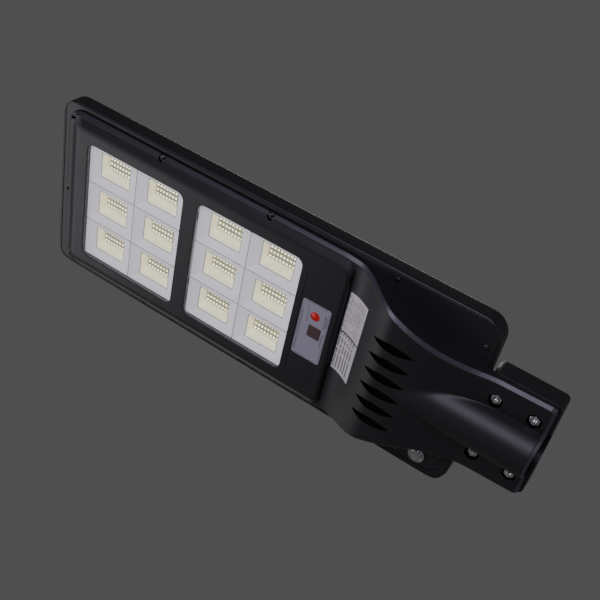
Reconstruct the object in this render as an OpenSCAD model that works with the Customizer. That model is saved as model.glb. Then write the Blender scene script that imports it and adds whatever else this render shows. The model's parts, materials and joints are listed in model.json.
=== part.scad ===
/* [Light windows] */
// Length of each light window along the lamp
window_l = 134; // [110:1:165]
// Width of each light window across the lamp
window_w = 150; // [120:1:182]
// Bar of shell between the two windows
window_gap = 19; // [17:1:30]
// Corner radius of the windows
window_r = 9; // [4:1:14]
// Reflector cells along each window
cell_cols = 2; // [1:1:3]
// Reflector cells across each window
cell_rows = 3; // [2:1:4]
// Width of the clear cover's hidden flange
cover_flange = 3; // [2:0.5:4]
// Thickness of the clear cover's flange
cover_t = 1.4; // [1:0.2:2]
// Depth from the reflector's rim down to the light boards
reflector_h = 16; // [13:0.5:16]
// Wall of the moulded reflectors
reflector_t = 1.2; // [0.8:0.1:2]

/* [Light boards] */
// Lights in a row, along the lamp
led_cols = 8; // [4:1:9]
// Rows of lights in each cell
led_rows = 3; // [2:1:4]
// Pitch of the lights along the lamp
led_pitch_x = 4.2; // [3:0.1:4.6]
// Pitch of the lights across the lamp
led_pitch_y = 5.9; // [4:0.1:6]
// Length and width of one light
led_size = [3.5, 2.8];
// Height of one light
led_h = 0.8; // [0.5:0.1:1.2]
// Thickness of every circuit board
board_t = 1.6; // [1:0.2:2]
// Thickness of the aluminium heat plate
heat_t = 1.2; // [1:0.1:2]

/* [Face shell] */
// Wall of the face shell
shell_wall = 3; // [2.4:0.2:3.6]
// Raised face beside the windows, to its outer edge
face_side = 13; // [10:1:18]
// Raised face beyond the tip window, to its outer edge
face_tip = 17; // [14:1:24]
// Raised face between the arm window and the neck, which holds the sensor
sensor_l = 53; // [48:1:70]
// Height of the raised face above the flange
face_h = 5.5; // [4.5:0.5:7]
// Run of the slope round the raised face
face_slope = 10; // [6:1:14]
// Flat land outside the slope, along the sides
land_side = 5; // [4:0.5:8]
// Flat land outside the slope, at the tip
land_tip = 9; // [6:0.5:12]
// Corner radius of the flange
flange_r = 20; // [12:1:24]
// Corner radius of the raised face
face_r = 8; // [4:1:12]
// Height of the shell from the face to the seal
shell_h = 15; // [14:0.5:18]

/* [Neck and arm] */
// Rise of the neck's hump above the face
hump_h = 22.5; // [14:0.5:28]
// Distance from the raised face's end to the top of the hump
hump_x = 64; // [56:1:80]
// Length of the hump's flat top
hump_top = 10; // [0:1:16]
// Distance from the hump's flat top to the arm
hump_run = 106; // [96:1:130]
// Length of the straight arm
arm_l = 50; // [46:1:80]
// Width of the arm
arm_w = 121; // [108:1:130]
// Corner radius of the arm's end
arm_r = 6; // [4:0.5:8]
// Depth of the arm's flange below the face, where the arm starts
arm_z = 0.5; // [0:0.5:2]
// Wall under the louvre recesses
neck_wall = 5; // [4:0.5:6]
// Louvre recesses across the hump
louvre_count = 6; // [2:1:6]
// Pitch of the louvre recesses
louvre_pitch = 19.6; // [14:0.2:20]
// Length and width of one louvre recess
louvre_size = [47, 9.6];
// Depth of the louvre recesses
louvre_d = 3.5; // [2:0.5:3.5]

/* [Pole socket] */
// Diameter of the pole socket
bore_d = 50; // [40:1:52]
// Wall of the pole socket
bore_wall = 3; // [2.5:0.5:4]
// Depth of the pole socket
bore_l = 70; // [66:1:74]
// Height of the socket's axis above the face, towards the panel
bore_z = 6; // [5:0.5:7]
// Height of the plane where the two clamp halves meet
split_z = 10; // [9.5:0.5:11]
// Height of the upper clamp half's edge
clamp_h = 17; // [14:1:20]
// Length by which the upper clamp half stands past the arm
clamp_over = 3; // [0:0.5:5]
// Diameter of the clamp bolts
bolt_d = 6; // [5:1:6]
// Distance between the clamp bolts along the arm
bolt_pitch_x = 40; // [36:1:42]
// Distance between the clamp bolts across the arm
bolt_pitch_y = 74; // [72:1:80]
// Distance from the arm's end to the nearest bolts
bolt_end = 15.5; // [12:0.5:18]
// Room round each nut in its hexagonal pocket
nut_room = 2.2; // [0.2:0.1:2.4]
// Length of bolt that shows past its nut
bolt_past = 3; // [1:0.2:4]

/* [Panel tray] */
// Rim of the tray outside the flange, along the sides
rim_side = 7; // [6:0.5:10]
// Rim of the tray outside the flange, at the tip
rim_tip = 12; // [6:0.5:14]
// Rim of the tray outside the flange, at the arm
rim_arm = 8; // [6:0.5:12]
// Length of tray past the raised face
tray_over = 157; // [150:1:165]
// Height of the tray's edge
tray_h = 19; // [18.5:0.5:26]
// Depth of the tray's rim above the face
rim_z = 12; // [11:0.5:12]
// Wall of the tray
tray_wall = 3; // [2.4:0.2:3.6]
// Corner radius of the tray
tray_r = 22; // [14:1:26]
// Width of the ledge that the shell's seal presses on
ledge_w = 7; // [6:0.5:8]
// Width of the seat under the solar panel
seat_w = 6; // [4:0.5:8]
// Solar cells along and across the panel
solar_grid = [12, 4];
// Thickness of the solar panel's board
panel_board_t = 1.6; // [1:0.2:2]

/* [Battery] */
// Diameter of one battery cell
cell_d = 26.2; // [18:0.2:26.2]
// Length of one battery cell
cell_l = 65; // [50:1:65]

/* [Push button] */
// Diameter of the button's threaded body
button_d = 16; // [10:1:16]
// Diameter of the button's bezel
bezel_d = 19; // [18:0.5:20]
// Travel of the button's cap
button_travel = 2; // [1.5:0.5:2.5]
// Distance from the tray's arm end to the button's axis
button_back = 36; // [34:1:50]
// Distance from the tray's side to the button's axis
button_side = 20.5; // [20.5:0.5:24]

/* [Hidden] */
$fn = 64;

// Clearance round whatever fits in a hole or a recess
fit = 0.3;
// A sliver that lets joined shapes overlap
eps = 0.01;
// Further than any piece reaches across a cut
far = 60;

// Colours
charcoal = [0.13, 0.13, 0.15];
dark_seal = [0.05, 0.05, 0.05];
clear = [0.9, 0.95, 1, 0.3];
reflector_white = [0.88, 0.88, 0.88];
board_white = [0.93, 0.93, 0.9];
board_green = [0.05, 0.32, 0.16];
led_yellow = [1, 0.93, 0.6];
aluminium = [0.75, 0.76, 0.78];
steel = [0.7, 0.71, 0.73];

// Stations along the lamp, measured from the tip window's outer edge
window_x = [0, window_l + window_gap];
face_x0 = -face_tip;
face_x1 = 2 * window_l + window_gap + sensor_l;
flange_x0 = face_x0 - face_slope - land_tip;
tray_x0 = flange_x0 - rim_tip;
tray_x1 = face_x1 + tray_over;
floor_x1 = tray_x1 - rim_arm;
crest_x = face_x1 + hump_x;
fall_x = crest_x + hump_top;
arm_x0 = fall_x + hump_run;
arm_x1 = arm_x0 + arm_l;
clamp_x0 = arm_x1 - bore_l;
socket_d = bore_d + 2 * bore_wall;
nose_x = fall_x + 46;
neck_x0 = face_x1 + 2;

// Half widths
face_hw = window_w / 2 + face_side;
flange_hw = face_hw + face_slope + land_side;
tray_hw = flange_hw + rim_side;

// Heights above the face, towards the panel
ledge_z = shell_h + 1;
ledge_t = 2.5;
tray_z1 = rim_z + tray_h;
glass_t = 2;
cells_t = 0.4;
glass_drop = 0.6;
seat_z = tray_z1 - glass_drop - glass_t - cells_t - panel_board_t;
seat_t = 2;
cover_z = shell_wall + 0.8;
reflector_z = cover_z + cover_t;
led_board_z = reflector_z + reflector_h;
heat_z = led_board_z + board_t;
floor_t = 2.2;
// Walls at the inner end of the pole socket and at the panel tray's arm end
socket_end_t = 6;
tail_wall = 12;

// A smooth step from 0 to 1
function smooth(t) = let (c = min(max(t, 0), 1)) c * c * (3 - 2 * c);

// Height of the neck's outer surface at a station
function neck_z(x) =
    x < crest_x
        ? face_h - (face_h + hump_h) * smooth((x - neck_x0) / (crest_x - neck_x0))
        : -hump_h + (hump_h + arm_z) * smooth((x - fall_x) / (arm_x0 - fall_x))
            + max(0, x - arm_x0) * arm_fall;
arm_fall = 0.04;

// Half width of the neck at a station
waist_x0 = face_x1 - 16;
waist_x1 = face_x1 + 155;
function neck_hw(x) = flange_hw - (flange_hw - arm_w / 2) * smooth((x - waist_x0) / (waist_x1 - waist_x0));

neck_steps = 40;
function stations(x0, x1) = [for (i = [0:neck_steps]) x0 + (x1 - x0) * i / neck_steps];

// Places of the case screws
screw_in = 3;
screw_hw = flange_hw - screw_in;
corner_dx = (flange_r - screw_in) * cos(45);
head_screws = concat(
    [[flange_x0 + screw_in, 0]],
    [for (s = [-1, 1]) [flange_x0 + flange_r - corner_dx, s * (flange_hw - flange_r + corner_dx)]],
    [for (s = [-1, 1], x = [window_l * 0.72, window_x[1] + window_l * 0.63]) [x, s * screw_hw]]
);
tail_screws = concat(
    [for (s = [-1, 1]) [face_x1 + 42, s * screw_hw]],
    [for (s = [-1, 1]) [floor_x1 - 1.5 - screw_in, s * (flange_hw - 25)]]
);
screw_d = 3;
screw_head_d = 6;
screw_head_h = 1.8;
head_pocket_d = 8;
head_seat_z = 9;
tail_seat_z = rim_z + 1.6;

// Posts that carry the heat plate, between and beside the windows
post_d = 6.4;
heat_posts = [for (x = [-7.5, window_l + window_gap / 2, window_x[1] + window_l + 7.5], s = [-1, 1])
    [x, s * window_w * 0.3]];

// Sensor field
field = [37, 131];
plate = [35, 74];
plate_t = 0.6;
field_x = face_x1 - 8.5 - field[0] / 2;
plate_x = face_x1 - 8.5 - plate[0] / 2;
plate_y = 3;
lens_d = 11;
lens_at = [plate_x + 0.5, plate_y - 21];
smoked = 15;
smoked_at = [plate_x + 3.4, plate_y - 1];
sensor_board_size = [32, 66];
sensor_board_z = 9;
sensor_posts = [for (sx = [-1, 1], sy = [-1, 1]) [plate_x + sx * 12, plate_y + sy * 29]];

// Controller
controller_size = [34, 120];
controller_z = 17;
controller_x = face_x1 - shell_wall - 4 - controller_size[0] / 2;
controller_posts = [for (sx = [-1, 1], sy = [-1, 1]) [controller_x + sx * 13, sy * 55]];

// Battery
cell_gap = 1;
battery_x = crest_x - 5.5;
battery_z = 6;
cell_rows_x = [for (s = [-1, 1]) battery_x + s * (cell_d + cell_gap) / 2];
cell_y = (cell_l + 2 * cell_gap) / 2;
cradle = [2 * cell_d + 9, 2 * cell_l - 4];
cradle_z1 = battery_z;
strap_w = 12;
strap_t = 1.2;

// Clamp bolts
bolts = [for (i = [0, 1], s = [-1, 1]) [arm_x1 - bolt_end - i * bolt_pitch_x, s * bolt_pitch_y / 2]];
nut_af = bolt_d == 6 ? 10 : 8;
nut_h = 5;
nut_floor_t = 2.5;
nut_seat_z = split_z - nut_floor_t;
clamp_z0 = split_z + fit;
clamp_z1 = split_z + clamp_h;
clamp_top_t = 3.5;
washer_t = 1.2;

// Push button
button_x = tray_x1 - button_back;
button_y = tray_hw - button_side;
floor_z = shell_h - floor_t;
bezel_h = 2.2;
bezel_z = floor_z - bezel_h;
cap_d = button_d - 3.4;
cap_flange_d = cap_d + 1.2;
coil_r = cap_flange_d / 2 - 1.3;
cap_proud = 0.9;
button_base_z = 21.5;
button_nut_af = button_d + 2;
button_nut_h = 2.4;
button_seal_t = 1;
lip_t = 1;
cap_flange_z = bezel_z + lip_t + 0.4;
cap_flange_t = 1.8;

// Reflector cells: each narrows to a step, and then to the opening round its lights
cell = [window_l / cell_cols, window_w / cell_rows];
cells_at = [for (i = [0:cell_cols - 1], j = [0:cell_rows - 1])
    [(i + 0.5) * cell[0], (j + 0.5) * cell[1] - window_w / 2]];
ridge = 0.9;
step_share = 0.31;
step_size = cell * 0.625;
array_size = [
    (led_cols - 1) * led_pitch_x + led_size[0] + 2,
    (led_rows - 1) * led_pitch_y + led_size[1] + 2.4
];

// Controller's parts stand on its board
controller_top = controller_z + board_t;

// Places where the battery's straps are screwed to the cradle's ends
strap_ends = [for (e = [-1, 1], s = [-1, 1]) [battery_x + e * cradle[0] / 2, s * cell_y, e]];
strap_z = cradle_z1 - 1.6;

// Labels on the neck
label_t = 0.3;
label_w = 51;
label_y = -66;
label_x = [face_x1 + 3.5, face_x1 + 30];

// Solar panel
panel_r = tray_r - tray_wall;
panel_x = [tray_x0 + tray_wall, tray_x1 - tray_wall];
panel_hw = tray_hw - tray_wall;
panel_border = [20, 11];
solar_space = [panel_x[1] - panel_x[0] - 2 * panel_border[0], 2 * panel_hw - 2 * panel_border[1]];
solar_pitch = [solar_space[0] / solar_grid[0], solar_space[1] / solar_grid[1]];
solar_gap = 1.5;
adhesive_t = 0.4;

// Moves a piece from the tip window's edge to the pole socket's mouth
module lamp() translate([-arm_x1, 0, -bore_z]) children();

// A flat rectangle with round corners between two stations
module plan(x0, x1, hw, r) {
    translate([x0 + r, -hw]) square([x1 - x0 - 2 * r, 2 * hw]);
    translate([x0, r - hw]) square([x1 - x0, 2 * (hw - r)]);
    for (x = [x0 + r, x1 - r], y = [r - hw, hw - r]) translate([x, y]) circle(r);
}

module slab(x0, x1, hw, r, z0, z1) translate([0, 0, z0]) linear_extrude(z1 - z0) plan(x0, x1, hw, r);

// A block centred on a place, from one height to another
module block(at, size, z0, z1)
    translate([at[0] - size[0] / 2, at[1] - size[1] / 2, z0]) cube([size[0], size[1], z1 - z0]);

module rod(at, d, z0, z1) translate([at[0], at[1], z0]) cylinder(d = d, h = z1 - z0);

// A rectangle that tapers to another, with four flat sides
module taper(at, low, high, z0, z1) {
    corners = [[-1, -1], [1, -1], [1, 1], [-1, 1]];
    points = concat(
        [for (c = corners) [at[0] + c[0] * low[0] / 2, at[1] + c[1] * low[1] / 2, z0]],
        [for (c = corners) [at[0] + c[0] * high[0] / 2, at[1] + c[1] * high[1] / 2, z1]]
    );
    polyhedron(points, [[0, 1, 2, 3], [7, 6, 5, 4], [4, 5, 1, 0], [5, 6, 2, 1], [6, 7, 3, 2], [7, 4, 0, 3]]);
}

// The raised face with its slope, moved inwards by a wall
module raised_face(wall) {
    slope_in = wall * 0.9;
    hull() {
        slab(face_x0 + slope_in, face_x1 - wall, face_hw - slope_in, face_r, wall, wall + eps);
        slab(face_x0 - face_slope + slope_in, face_x1 - wall, face_hw + face_slope - slope_in, face_r + 2,
            face_h + wall, face_h + wall + eps);
    }
}

// Plan of the neck and arm, moved inwards by a wall
module neck_plan(wall, x0, x1) {
    xs = stations(x0, x1);
    polygon(concat(
        [for (x = xs) [x, -neck_hw(x) + wall]],
        [for (i = [len(xs) - 1:-1:0]) [xs[i], neck_hw(xs[i]) - wall]]
    ));
}

// Side view of the neck, from a depth under its surface to a list of points that runs back from the arm's end
module neck_side(wall, tops) {
    rotate([90, 0, 0]) linear_extrude(2 * tray_hw, center = true)
        polygon(concat([for (x = stations(neck_x0, arm_x1)) [x, neck_z(x) + wall]], tops));
}
module neck_beyond(wall, z) neck_side(wall, [[arm_x1, z], [neck_x0, z]]);

module neck_outside() {
    intersection() {
        linear_extrude(2 * far, center = true) union() {
            neck_plan(0, neck_x0 - 12, arm_x1 - arm_r);
            plan(arm_x0, arm_x1, arm_w / 2, arm_r);
        }
        neck_side(0, [
            [arm_x1, split_z], [clamp_x0, split_z], [clamp_x0, rim_z - fit],
            [floor_x1, rim_z - fit], [floor_x1, shell_h], [neck_x0, shell_h]
        ]);
    }
    // The socket's round wall runs out of the neck with a round nose
    intersection() {
        union() {
            translate([nose_x, 0, bore_z]) rotate([0, 90, 0]) cylinder(d = socket_d, h = arm_x1 - nose_x);
            translate([nose_x, 0, bore_z]) sphere(d = socket_d);
        }
        block([(crest_x + arm_x1) / 2, 0], [arm_x1 - crest_x, bore_d * 2], -far, rim_z - 2);
    }
}

module neck_inside() {
    top_z = rim_z - shell_wall;
    x1 = floor_x1 - tail_wall;
    intersection() {
        linear_extrude(2 * far, center = true) neck_plan(shell_wall, neck_x0 + 4, clamp_x0 - socket_end_t);
        neck_side(neck_wall, [[arm_x1, top_z], [x1, top_z], [x1, shell_h + 1], [neck_x0, shell_h + 1]]);
    }
}

module louvres() {
    half = louvre_size / 2;
    r = (pow(half[0], 2) + pow(half[1], 2)) / (2 * half[1]);
    x = crest_x + 5.5;
    y0 = -(louvre_count - 1) / 2 * louvre_pitch;
    difference() {
        for (i = [0:louvre_count - 1])
            translate([x, y0 + i * louvre_pitch, -far]) linear_extrude(far) intersection() {
                translate([0, r - half[1]]) circle(r, $fn = 180);
                translate([0, half[1] - r]) circle(r, $fn = 180);
            }
        neck_beyond(louvre_d, far);
    }
}

module head_boss_plan() intersection() {
    plan(flange_x0, floor_x1, flange_hw, flange_r);
    for (p = head_screws) translate(p) circle(d = head_pocket_d + 3);
}

module face_shell() color(charcoal) lamp() difference() {
    union() {
        difference() {
            union() {
                raised_face(0);
                intersection() {
                    slab(flange_x0, floor_x1, flange_hw, flange_r, face_h, shell_h);
                    block([(flange_x0 + neck_x0) / 2, 0], [neck_x0 - flange_x0, 2 * tray_hw],
                        face_h, shell_h);
                }
                neck_outside();
                slab(face_x1 - 60, floor_x1, flange_hw, flange_r, floor_z, shell_h);
            }
            raised_face(shell_wall);
            intersection() {
                slab(flange_x0 + shell_wall, floor_x1, flange_hw - shell_wall, flange_r - shell_wall,
                    face_h + shell_wall, shell_h + 1);
                block([(flange_x0 + face_x1) / 2, 0], [face_x1 - flange_x0 - 2 * shell_wall, 2 * tray_hw],
                    0, shell_h + 1);
            }
            neck_inside();
        }
        translate([0, 0, face_h]) linear_extrude(shell_h - face_h) head_boss_plan();
        for (p = heat_posts) rod(p, post_d, shell_wall - 1, heat_z);
        for (p = sensor_posts) rod(p, 5, shell_wall - 1, sensor_board_z);
        for (p = controller_posts) rod(p, 6, shell_wall - 1, controller_z);
    }
    for (x = window_x) slab(x, x + window_l, window_w / 2, window_r, -1, shell_wall + 1);
    block([field_x, plate_y - 3], field, -1, 0.4);
    block([plate_x, plate_y], plate, -1, 0.7);
    rod(lens_at, lens_d + fit, -1, shell_wall + 1);
    block(smoked_at, [smoked + fit, smoked + fit], -1, shell_wall + 1);
    for (p = head_screws) {
        rod(p, head_pocket_d, face_h - 1, head_seat_z);
        rod(p, screw_d + fit, face_h, shell_h + 1);
    }
    for (p = tail_screws) {
        rod(p, head_pocket_d - 1, floor_z - 1, tail_seat_z);
        rod(p, screw_d + fit, floor_z - 1, shell_h + 1);
    }
    for (p = heat_posts) rod(p, 2.4, shell_wall + 4, heat_z);
    for (p = sensor_posts) rod(p, 1.8, shell_wall + 1, sensor_board_z + 1);
    for (p = controller_posts) rod(p, 2.4, shell_wall + 4, controller_z + 1);
    translate([clamp_x0, 0, bore_z]) rotate([0, 90, 0]) cylinder(d = bore_d, h = bore_l + 1);
    for (p = bolts) {
        rod(p, bolt_d + fit, -far, split_z + 1);
        translate([p[0], p[1], -far])
            cylinder(d = (nut_af + 2 * nut_room) / cos(30), h = nut_seat_z + far, $fn = 6);
    }
    louvres();
    rod([button_x, button_y], button_d + fit, floor_z - 1, shell_h + 1);
}

module case_seal() color(dark_seal) lamp() difference() {
    seal_in = 0.5;
    seal_w = 3;
    slab(flange_x0 + seal_in, floor_x1 - seal_in, flange_hw - seal_in, flange_r - seal_in, shell_h, ledge_z);
    slab(flange_x0 + seal_in + seal_w, floor_x1 - seal_in - seal_w, flange_hw - seal_in - seal_w,
        flange_r - seal_in - seal_w, shell_h - 1, ledge_z + 1);
    for (p = concat(head_screws, tail_screws)) rod(p, screw_d + fit, shell_h - 1, ledge_z + 1);
}

module panel_tray() color(charcoal) lamp() difference() {
    boss_d = 8;
    union() {
        difference() {
            slab(tray_x0, tray_x1, tray_hw, tray_r, rim_z, tray_z1);
            slab(flange_x0 - fit, floor_x1 + fit, flange_hw + fit, flange_r + fit, rim_z - 1, ledge_z);
            slab(flange_x0 + ledge_w, floor_x1 - ledge_w, flange_hw - ledge_w, flange_r - ledge_w,
                rim_z, tray_z1);
            slab(tray_x0 + tray_wall, tray_x1 - tray_wall, tray_hw - tray_wall, tray_r - tray_wall,
                ledge_z + ledge_t, seat_z - seat_t);
            slab(tray_x0 + tray_wall + seat_w, tray_x1 - tray_wall - seat_w, tray_hw - tray_wall - seat_w,
                tray_r - tray_wall - seat_w, seat_z - seat_t - 1, tray_z1);
            slab(tray_x0 + tray_wall - fit, tray_x1 - tray_wall + fit, tray_hw - tray_wall + fit,
                tray_r - tray_wall + fit, seat_z, tray_z1 + 1);
        }
        for (p = concat(head_screws, tail_screws)) rod(p, boss_d, ledge_z + 1, seat_z - seat_t + 1);
    }
    for (p = concat(head_screws, tail_screws)) rod(p, screw_d, ledge_z - 1, seat_z - seat_t - 1);
    // Room in the ledge for the push button's nut
    block([button_x, button_y], [button_nut_af + 4, button_nut_af + 2 * fit],
        ledge_z - 1, ledge_z + ledge_t + 1);
}

// A screw that points towards the panel, with a pan head below its seat
module screw(at, seat, d, head_d, head_h, l) {
    rod(at, head_d, seat - head_h, seat);
    rod(at, d, seat - eps, seat + l);
}

module case_screws() color(steel) lamp() {
    for (p = head_screws) screw(p, head_seat_z, screw_d - 0.1, screw_head_d, screw_head_h, 14);
    for (p = tail_screws) screw(p, tail_seat_z, screw_d - 0.1, screw_head_d, screw_head_h, 9.5);
}

// A clear cover: a pane that fills the window, and a flange behind the shell
module window_cover(x) color(clear) lamp() {
    slab(x + fit, x + window_l - fit, window_w / 2 - fit, window_r - fit, 0.8, cover_z + eps);
    slab(x - cover_flange, x + window_l + cover_flange, window_w / 2 + cover_flange, window_r + cover_flange,
        cover_z, reflector_z);
}
module tip_window() window_cover(window_x[0]);
module arm_window() window_cover(window_x[1]);

module window_seal(x) color(dark_seal) lamp() difference() {
    slab(x - cover_flange, x + window_l + cover_flange, window_w / 2 + cover_flange, window_r + cover_flange,
        shell_wall, cover_z);
    slab(x - 0.5, x + window_l + 0.5, window_w / 2 + 0.5, window_r + 0.5, shell_wall - 1, cover_z + 1);
}
module tip_window_seal() window_seal(window_x[0]);
module arm_window_seal() window_seal(window_x[1]);

module cell_space(at, grow) {
    step_z = reflector_z + reflector_h * step_share;
    g = [grow, grow] * 2;
    taper(at, cell - [ridge, ridge] + g, step_size + g, reflector_z - eps, step_z + grow / 2);
    taper(at, step_size + g - [1, 1], array_size + g, step_z + grow / 2 - eps, led_board_z + eps);
}

module reflector(x) color(reflector_white) lamp() translate([x, 0, 0]) difference() {
    intersection() {
        for (c = cells_at) cell_space(c, reflector_t + ridge / 2);
        slab(0, window_l, window_w / 2, window_r, reflector_z, led_board_z);
    }
    for (c = cells_at) cell_space(c, 0);
}
module tip_reflector() reflector(window_x[0]);
module arm_reflector() reflector(window_x[1]);

module light_board(x) color(board_white) lamp()
    block([x + window_l / 2, 0], [window_l - 2, window_w - 2], led_board_z, heat_z);
module tip_light_board() light_board(window_x[0]);
module arm_light_board() light_board(window_x[1]);

module leds(x) color(led_yellow) lamp()
    for (c = cells_at, i = [0:led_cols - 1], j = [0:led_rows - 1])
        block([x + c[0] + (i - (led_cols - 1) / 2) * led_pitch_x,
            c[1] + (j - (led_rows - 1) / 2) * led_pitch_y],
            led_size, led_board_z - led_h, led_board_z);
module tip_leds() leds(window_x[0]);
module arm_leds() leds(window_x[1]);

module heat_plate() color(aluminium) lamp() difference() {
    slab(-12, window_x[1] + window_l + 12, window_w / 2 + 2, 4, heat_z, heat_z + heat_t);
    for (p = heat_posts) rod(p, screw_d + fit, heat_z - 1, heat_z + heat_t + 1);
}

// A screw that points towards the face, with a pan head above its seat
module down_screw(at, seat, d, head_d, head_h, l) {
    rod(at, head_d, seat, seat + head_h);
    rod(at, d, seat - l, seat + eps);
}

module heat_plate_screws() color(steel) lamp()
    for (p = heat_posts) down_screw(p, heat_z + heat_t, 2.3, 4.6, 1.6, 9);

module sensor_plate() color([0.55, 0.53, 0.59]) lamp() difference() {
    block([plate_x, plate_y], plate - [fit, fit], 0.7 - plate_t, 0.7);
    rod(lens_at, lens_d + fit, -1, 1);
    block(smoked_at, [smoked + fit, smoked + fit], -1, 1);
}

module motion_lens() color([0.9, 0.16, 0.16]) lamp() {
    rod(lens_at, lens_d, 0, shell_wall + eps);
    rod(lens_at, lens_d + 4, shell_wall, shell_wall + 1);
}

module light_window() color([0.4, 0.33, 0.33]) lamp() {
    block(smoked_at, [smoked, smoked], 0, shell_wall + eps);
    block(smoked_at, [smoked + 4, smoked + 3], shell_wall, shell_wall + 1);
}

module sensor_board() color(board_green) lamp() difference() {
    block([plate_x, plate_y], sensor_board_size, sensor_board_z, sensor_board_z + board_t);
    for (p = sensor_posts) rod(p, 2.2 + fit, sensor_board_z - 1, sensor_board_z + board_t + 1);
}

module motion_sensor() color(steel) lamp() {
    rod(lens_at, 9.2, sensor_board_z - 0.6, sensor_board_z);
    rod(lens_at, 8.2, sensor_board_z - 4.2, sensor_board_z - 0.6 + eps);
}

module light_sensor() color([0.1, 0.1, 0.1]) lamp()
    block(smoked_at, [5, 5], sensor_board_z - 3, sensor_board_z);

module sensor_screws() color(steel) lamp()
    for (p = sensor_posts) down_screw(p, sensor_board_z + board_t, 1.7, 3.6, 1.3, 6);

module controller_board() color(board_green) lamp() difference() {
    block([controller_x, 0], controller_size, controller_z, controller_z + board_t);
    for (p = controller_posts) rod(p, screw_d + fit, controller_z - 1, controller_z + board_t + 1);
}

module controller_chips() color([0.08, 0.08, 0.08]) lamp() {
    for (y = [-30, 0, 24]) block([controller_x - 6, y], [10, 8], controller_top, controller_top + 1.8);
    for (y = [-42, -36, 12]) block([controller_x + 8, y], [6, 4], controller_top, controller_top + 1.2);
}

module controller_capacitors() color([0.2, 0.22, 0.4]) lamp()
    for (y = [-16, -8, 36]) rod([controller_x + 7, y], 6.3, controller_top, controller_top + 5.6);

module controller_terminals() color([0.15, 0.4, 0.2]) lamp()
    for (y = [-48, 46], i = [0:1])
        block([controller_x - 2, y + i * 6 - 3], [7, 5.6], controller_top, controller_top + 6);

module controller_screws() color(steel) lamp()
    for (p = controller_posts) down_screw(p, controller_top, 2.3, 4.6, 1.6, 8);

// Battery cells lie across the lamp, two by two
module cell_shapes(d, l) for (x = cell_rows_x, s = [-1, 1])
    translate([x, s * cell_y, battery_z]) rotate([90, 0, 0]) cylinder(d = d, h = l, center = true);

module battery_cradle() color([0.2, 0.2, 0.22]) lamp() difference() {
    intersection() {
        block([battery_x, 0], cradle, -40, cradle_z1);
        neck_beyond(neck_wall + fit, far);
    }
    for (x = cell_rows_x) translate([x, 0, battery_z]) rotate([90, 0, 0])
        cylinder(d = cell_d + 2 * fit, h = cradle[1] + 2, center = true);
    for (y = [-1.25:0.5:1.25])
        block([battery_x, y * cradle[1] * 0.36], [cradle[0] - 16, 14], -far, battery_z - cell_d / 2 - 3);
    for (p = strap_ends) cradle_hole(p, 3.2);
}

module battery_cells() color([0.15, 0.35, 0.6]) lamp() cell_shapes(cell_d, cell_l);

module battery_links() color([0.8, 0.8, 0.78]) lamp()
    for (y = [-1, 1])
        block([battery_x, y * (cell_y + cell_l / 2 + 0.1)], [cell_d + 9, 0.2], battery_z - 4, battery_z + 4);

module cradle_hole(p, l) translate([p[0], p[1], strap_z]) rotate([0, -90 * p[2], 0]) cylinder(d = 1.8, h = l);

module battery_straps() color(steel) lamp() for (s = [-1, 1]) difference() {
    top_z = battery_z + cell_d / 2 + 0.2;
    block([battery_x, s * cell_y], [cradle[0] + 2 * strap_t, strap_w], cradle_z1 - 3.2, top_z + strap_t);
    block([battery_x, s * cell_y], [cradle[0], strap_w + 2], -10, top_z);
    for (e = [-1, 1]) translate([battery_x + e * cradle[0] / 2, s * cell_y, strap_z])
        rotate([0, 90, 0]) cylinder(d = 1.8 + fit, h = 10, center = true);
}

module battery_screws() color(steel) lamp() for (p = strap_ends)
    translate([p[0] + p[2] * strap_t, p[1], strap_z]) {
        rotate([0, 90 * p[2], 0]) cylinder(d = 3.2, h = 1.2);
        rotate([0, -90 * p[2], 0]) cylinder(d = 1.7, h = strap_t + 3);
    }

// A label that follows the slope of the neck between the raised face and the louvres
module neck_label(y0, y1) color([0.82, 0.8, 0.78]) lamp() {
    difference() {
        translate([label_x[0], y0, -40]) cube([label_x[1] - label_x[0], y1 - y0, 60]);
        neck_beyond(0, far);
        translate([0, 0, -label_t]) neck_beyond(0, -far);
    }
}
module rating_label() neck_label(label_y, label_y + label_w - 0.6);
module charge_label() neck_label(label_y + label_w, label_y + 2 * label_w);

module pole_clamp() color(charcoal) lamp() {
    column_d = nut_af + 6;
    x1 = arm_x1 + clamp_over;
    difference() {
        union() {
            difference() {
                slab(clamp_x0 + 0.5, x1, arm_w / 2, arm_r, clamp_z0, clamp_z1);
                slab(clamp_x0 + 0.5 + shell_wall, x1 - shell_wall, arm_w / 2 - shell_wall, arm_r - shell_wall,
                    clamp_z0 - 1, clamp_z1 - clamp_top_t);
            }
            intersection() {
                translate([clamp_x0 + 0.5, 0, bore_z]) rotate([0, 90, 0])
                    cylinder(d = bore_d + 2 * bore_wall + 1, h = x1 - clamp_x0 - 0.5);
                block([clamp_x0, 0], [4 * bore_l, arm_w], clamp_z0, far);
            }
            for (p = bolts) rod(p, column_d, clamp_z0, clamp_z1 - 1);
            for (x = [bolts[0][0], bolts[2][0]], s = [-1, 1])
                block([x, s * (arm_w / 4 + bolt_pitch_y / 4 + 3)], [2.4, arm_w / 2 - bolt_pitch_y / 2 - 6],
                    clamp_z0 + 2, clamp_z1 - 1);
        }
        translate([clamp_x0 - 1, 0, bore_z]) rotate([0, 90, 0]) cylinder(d = bore_d, h = bore_l + 20);
        for (p = bolts) rod(p, bolt_d + fit, 0, far);
    }
}

module clamp_bolts() color(steel) lamp() for (p = bolts) {
    head_z = clamp_z1 + washer_t;
    head_h = bolt_d * 0.66;
    translate([p[0], p[1], head_z]) cylinder(d = nut_af / cos(30), h = head_h, $fn = 6);
    rod(p, bolt_d - 0.1, nut_seat_z - nut_h - bolt_past, head_z + eps);
}

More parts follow.
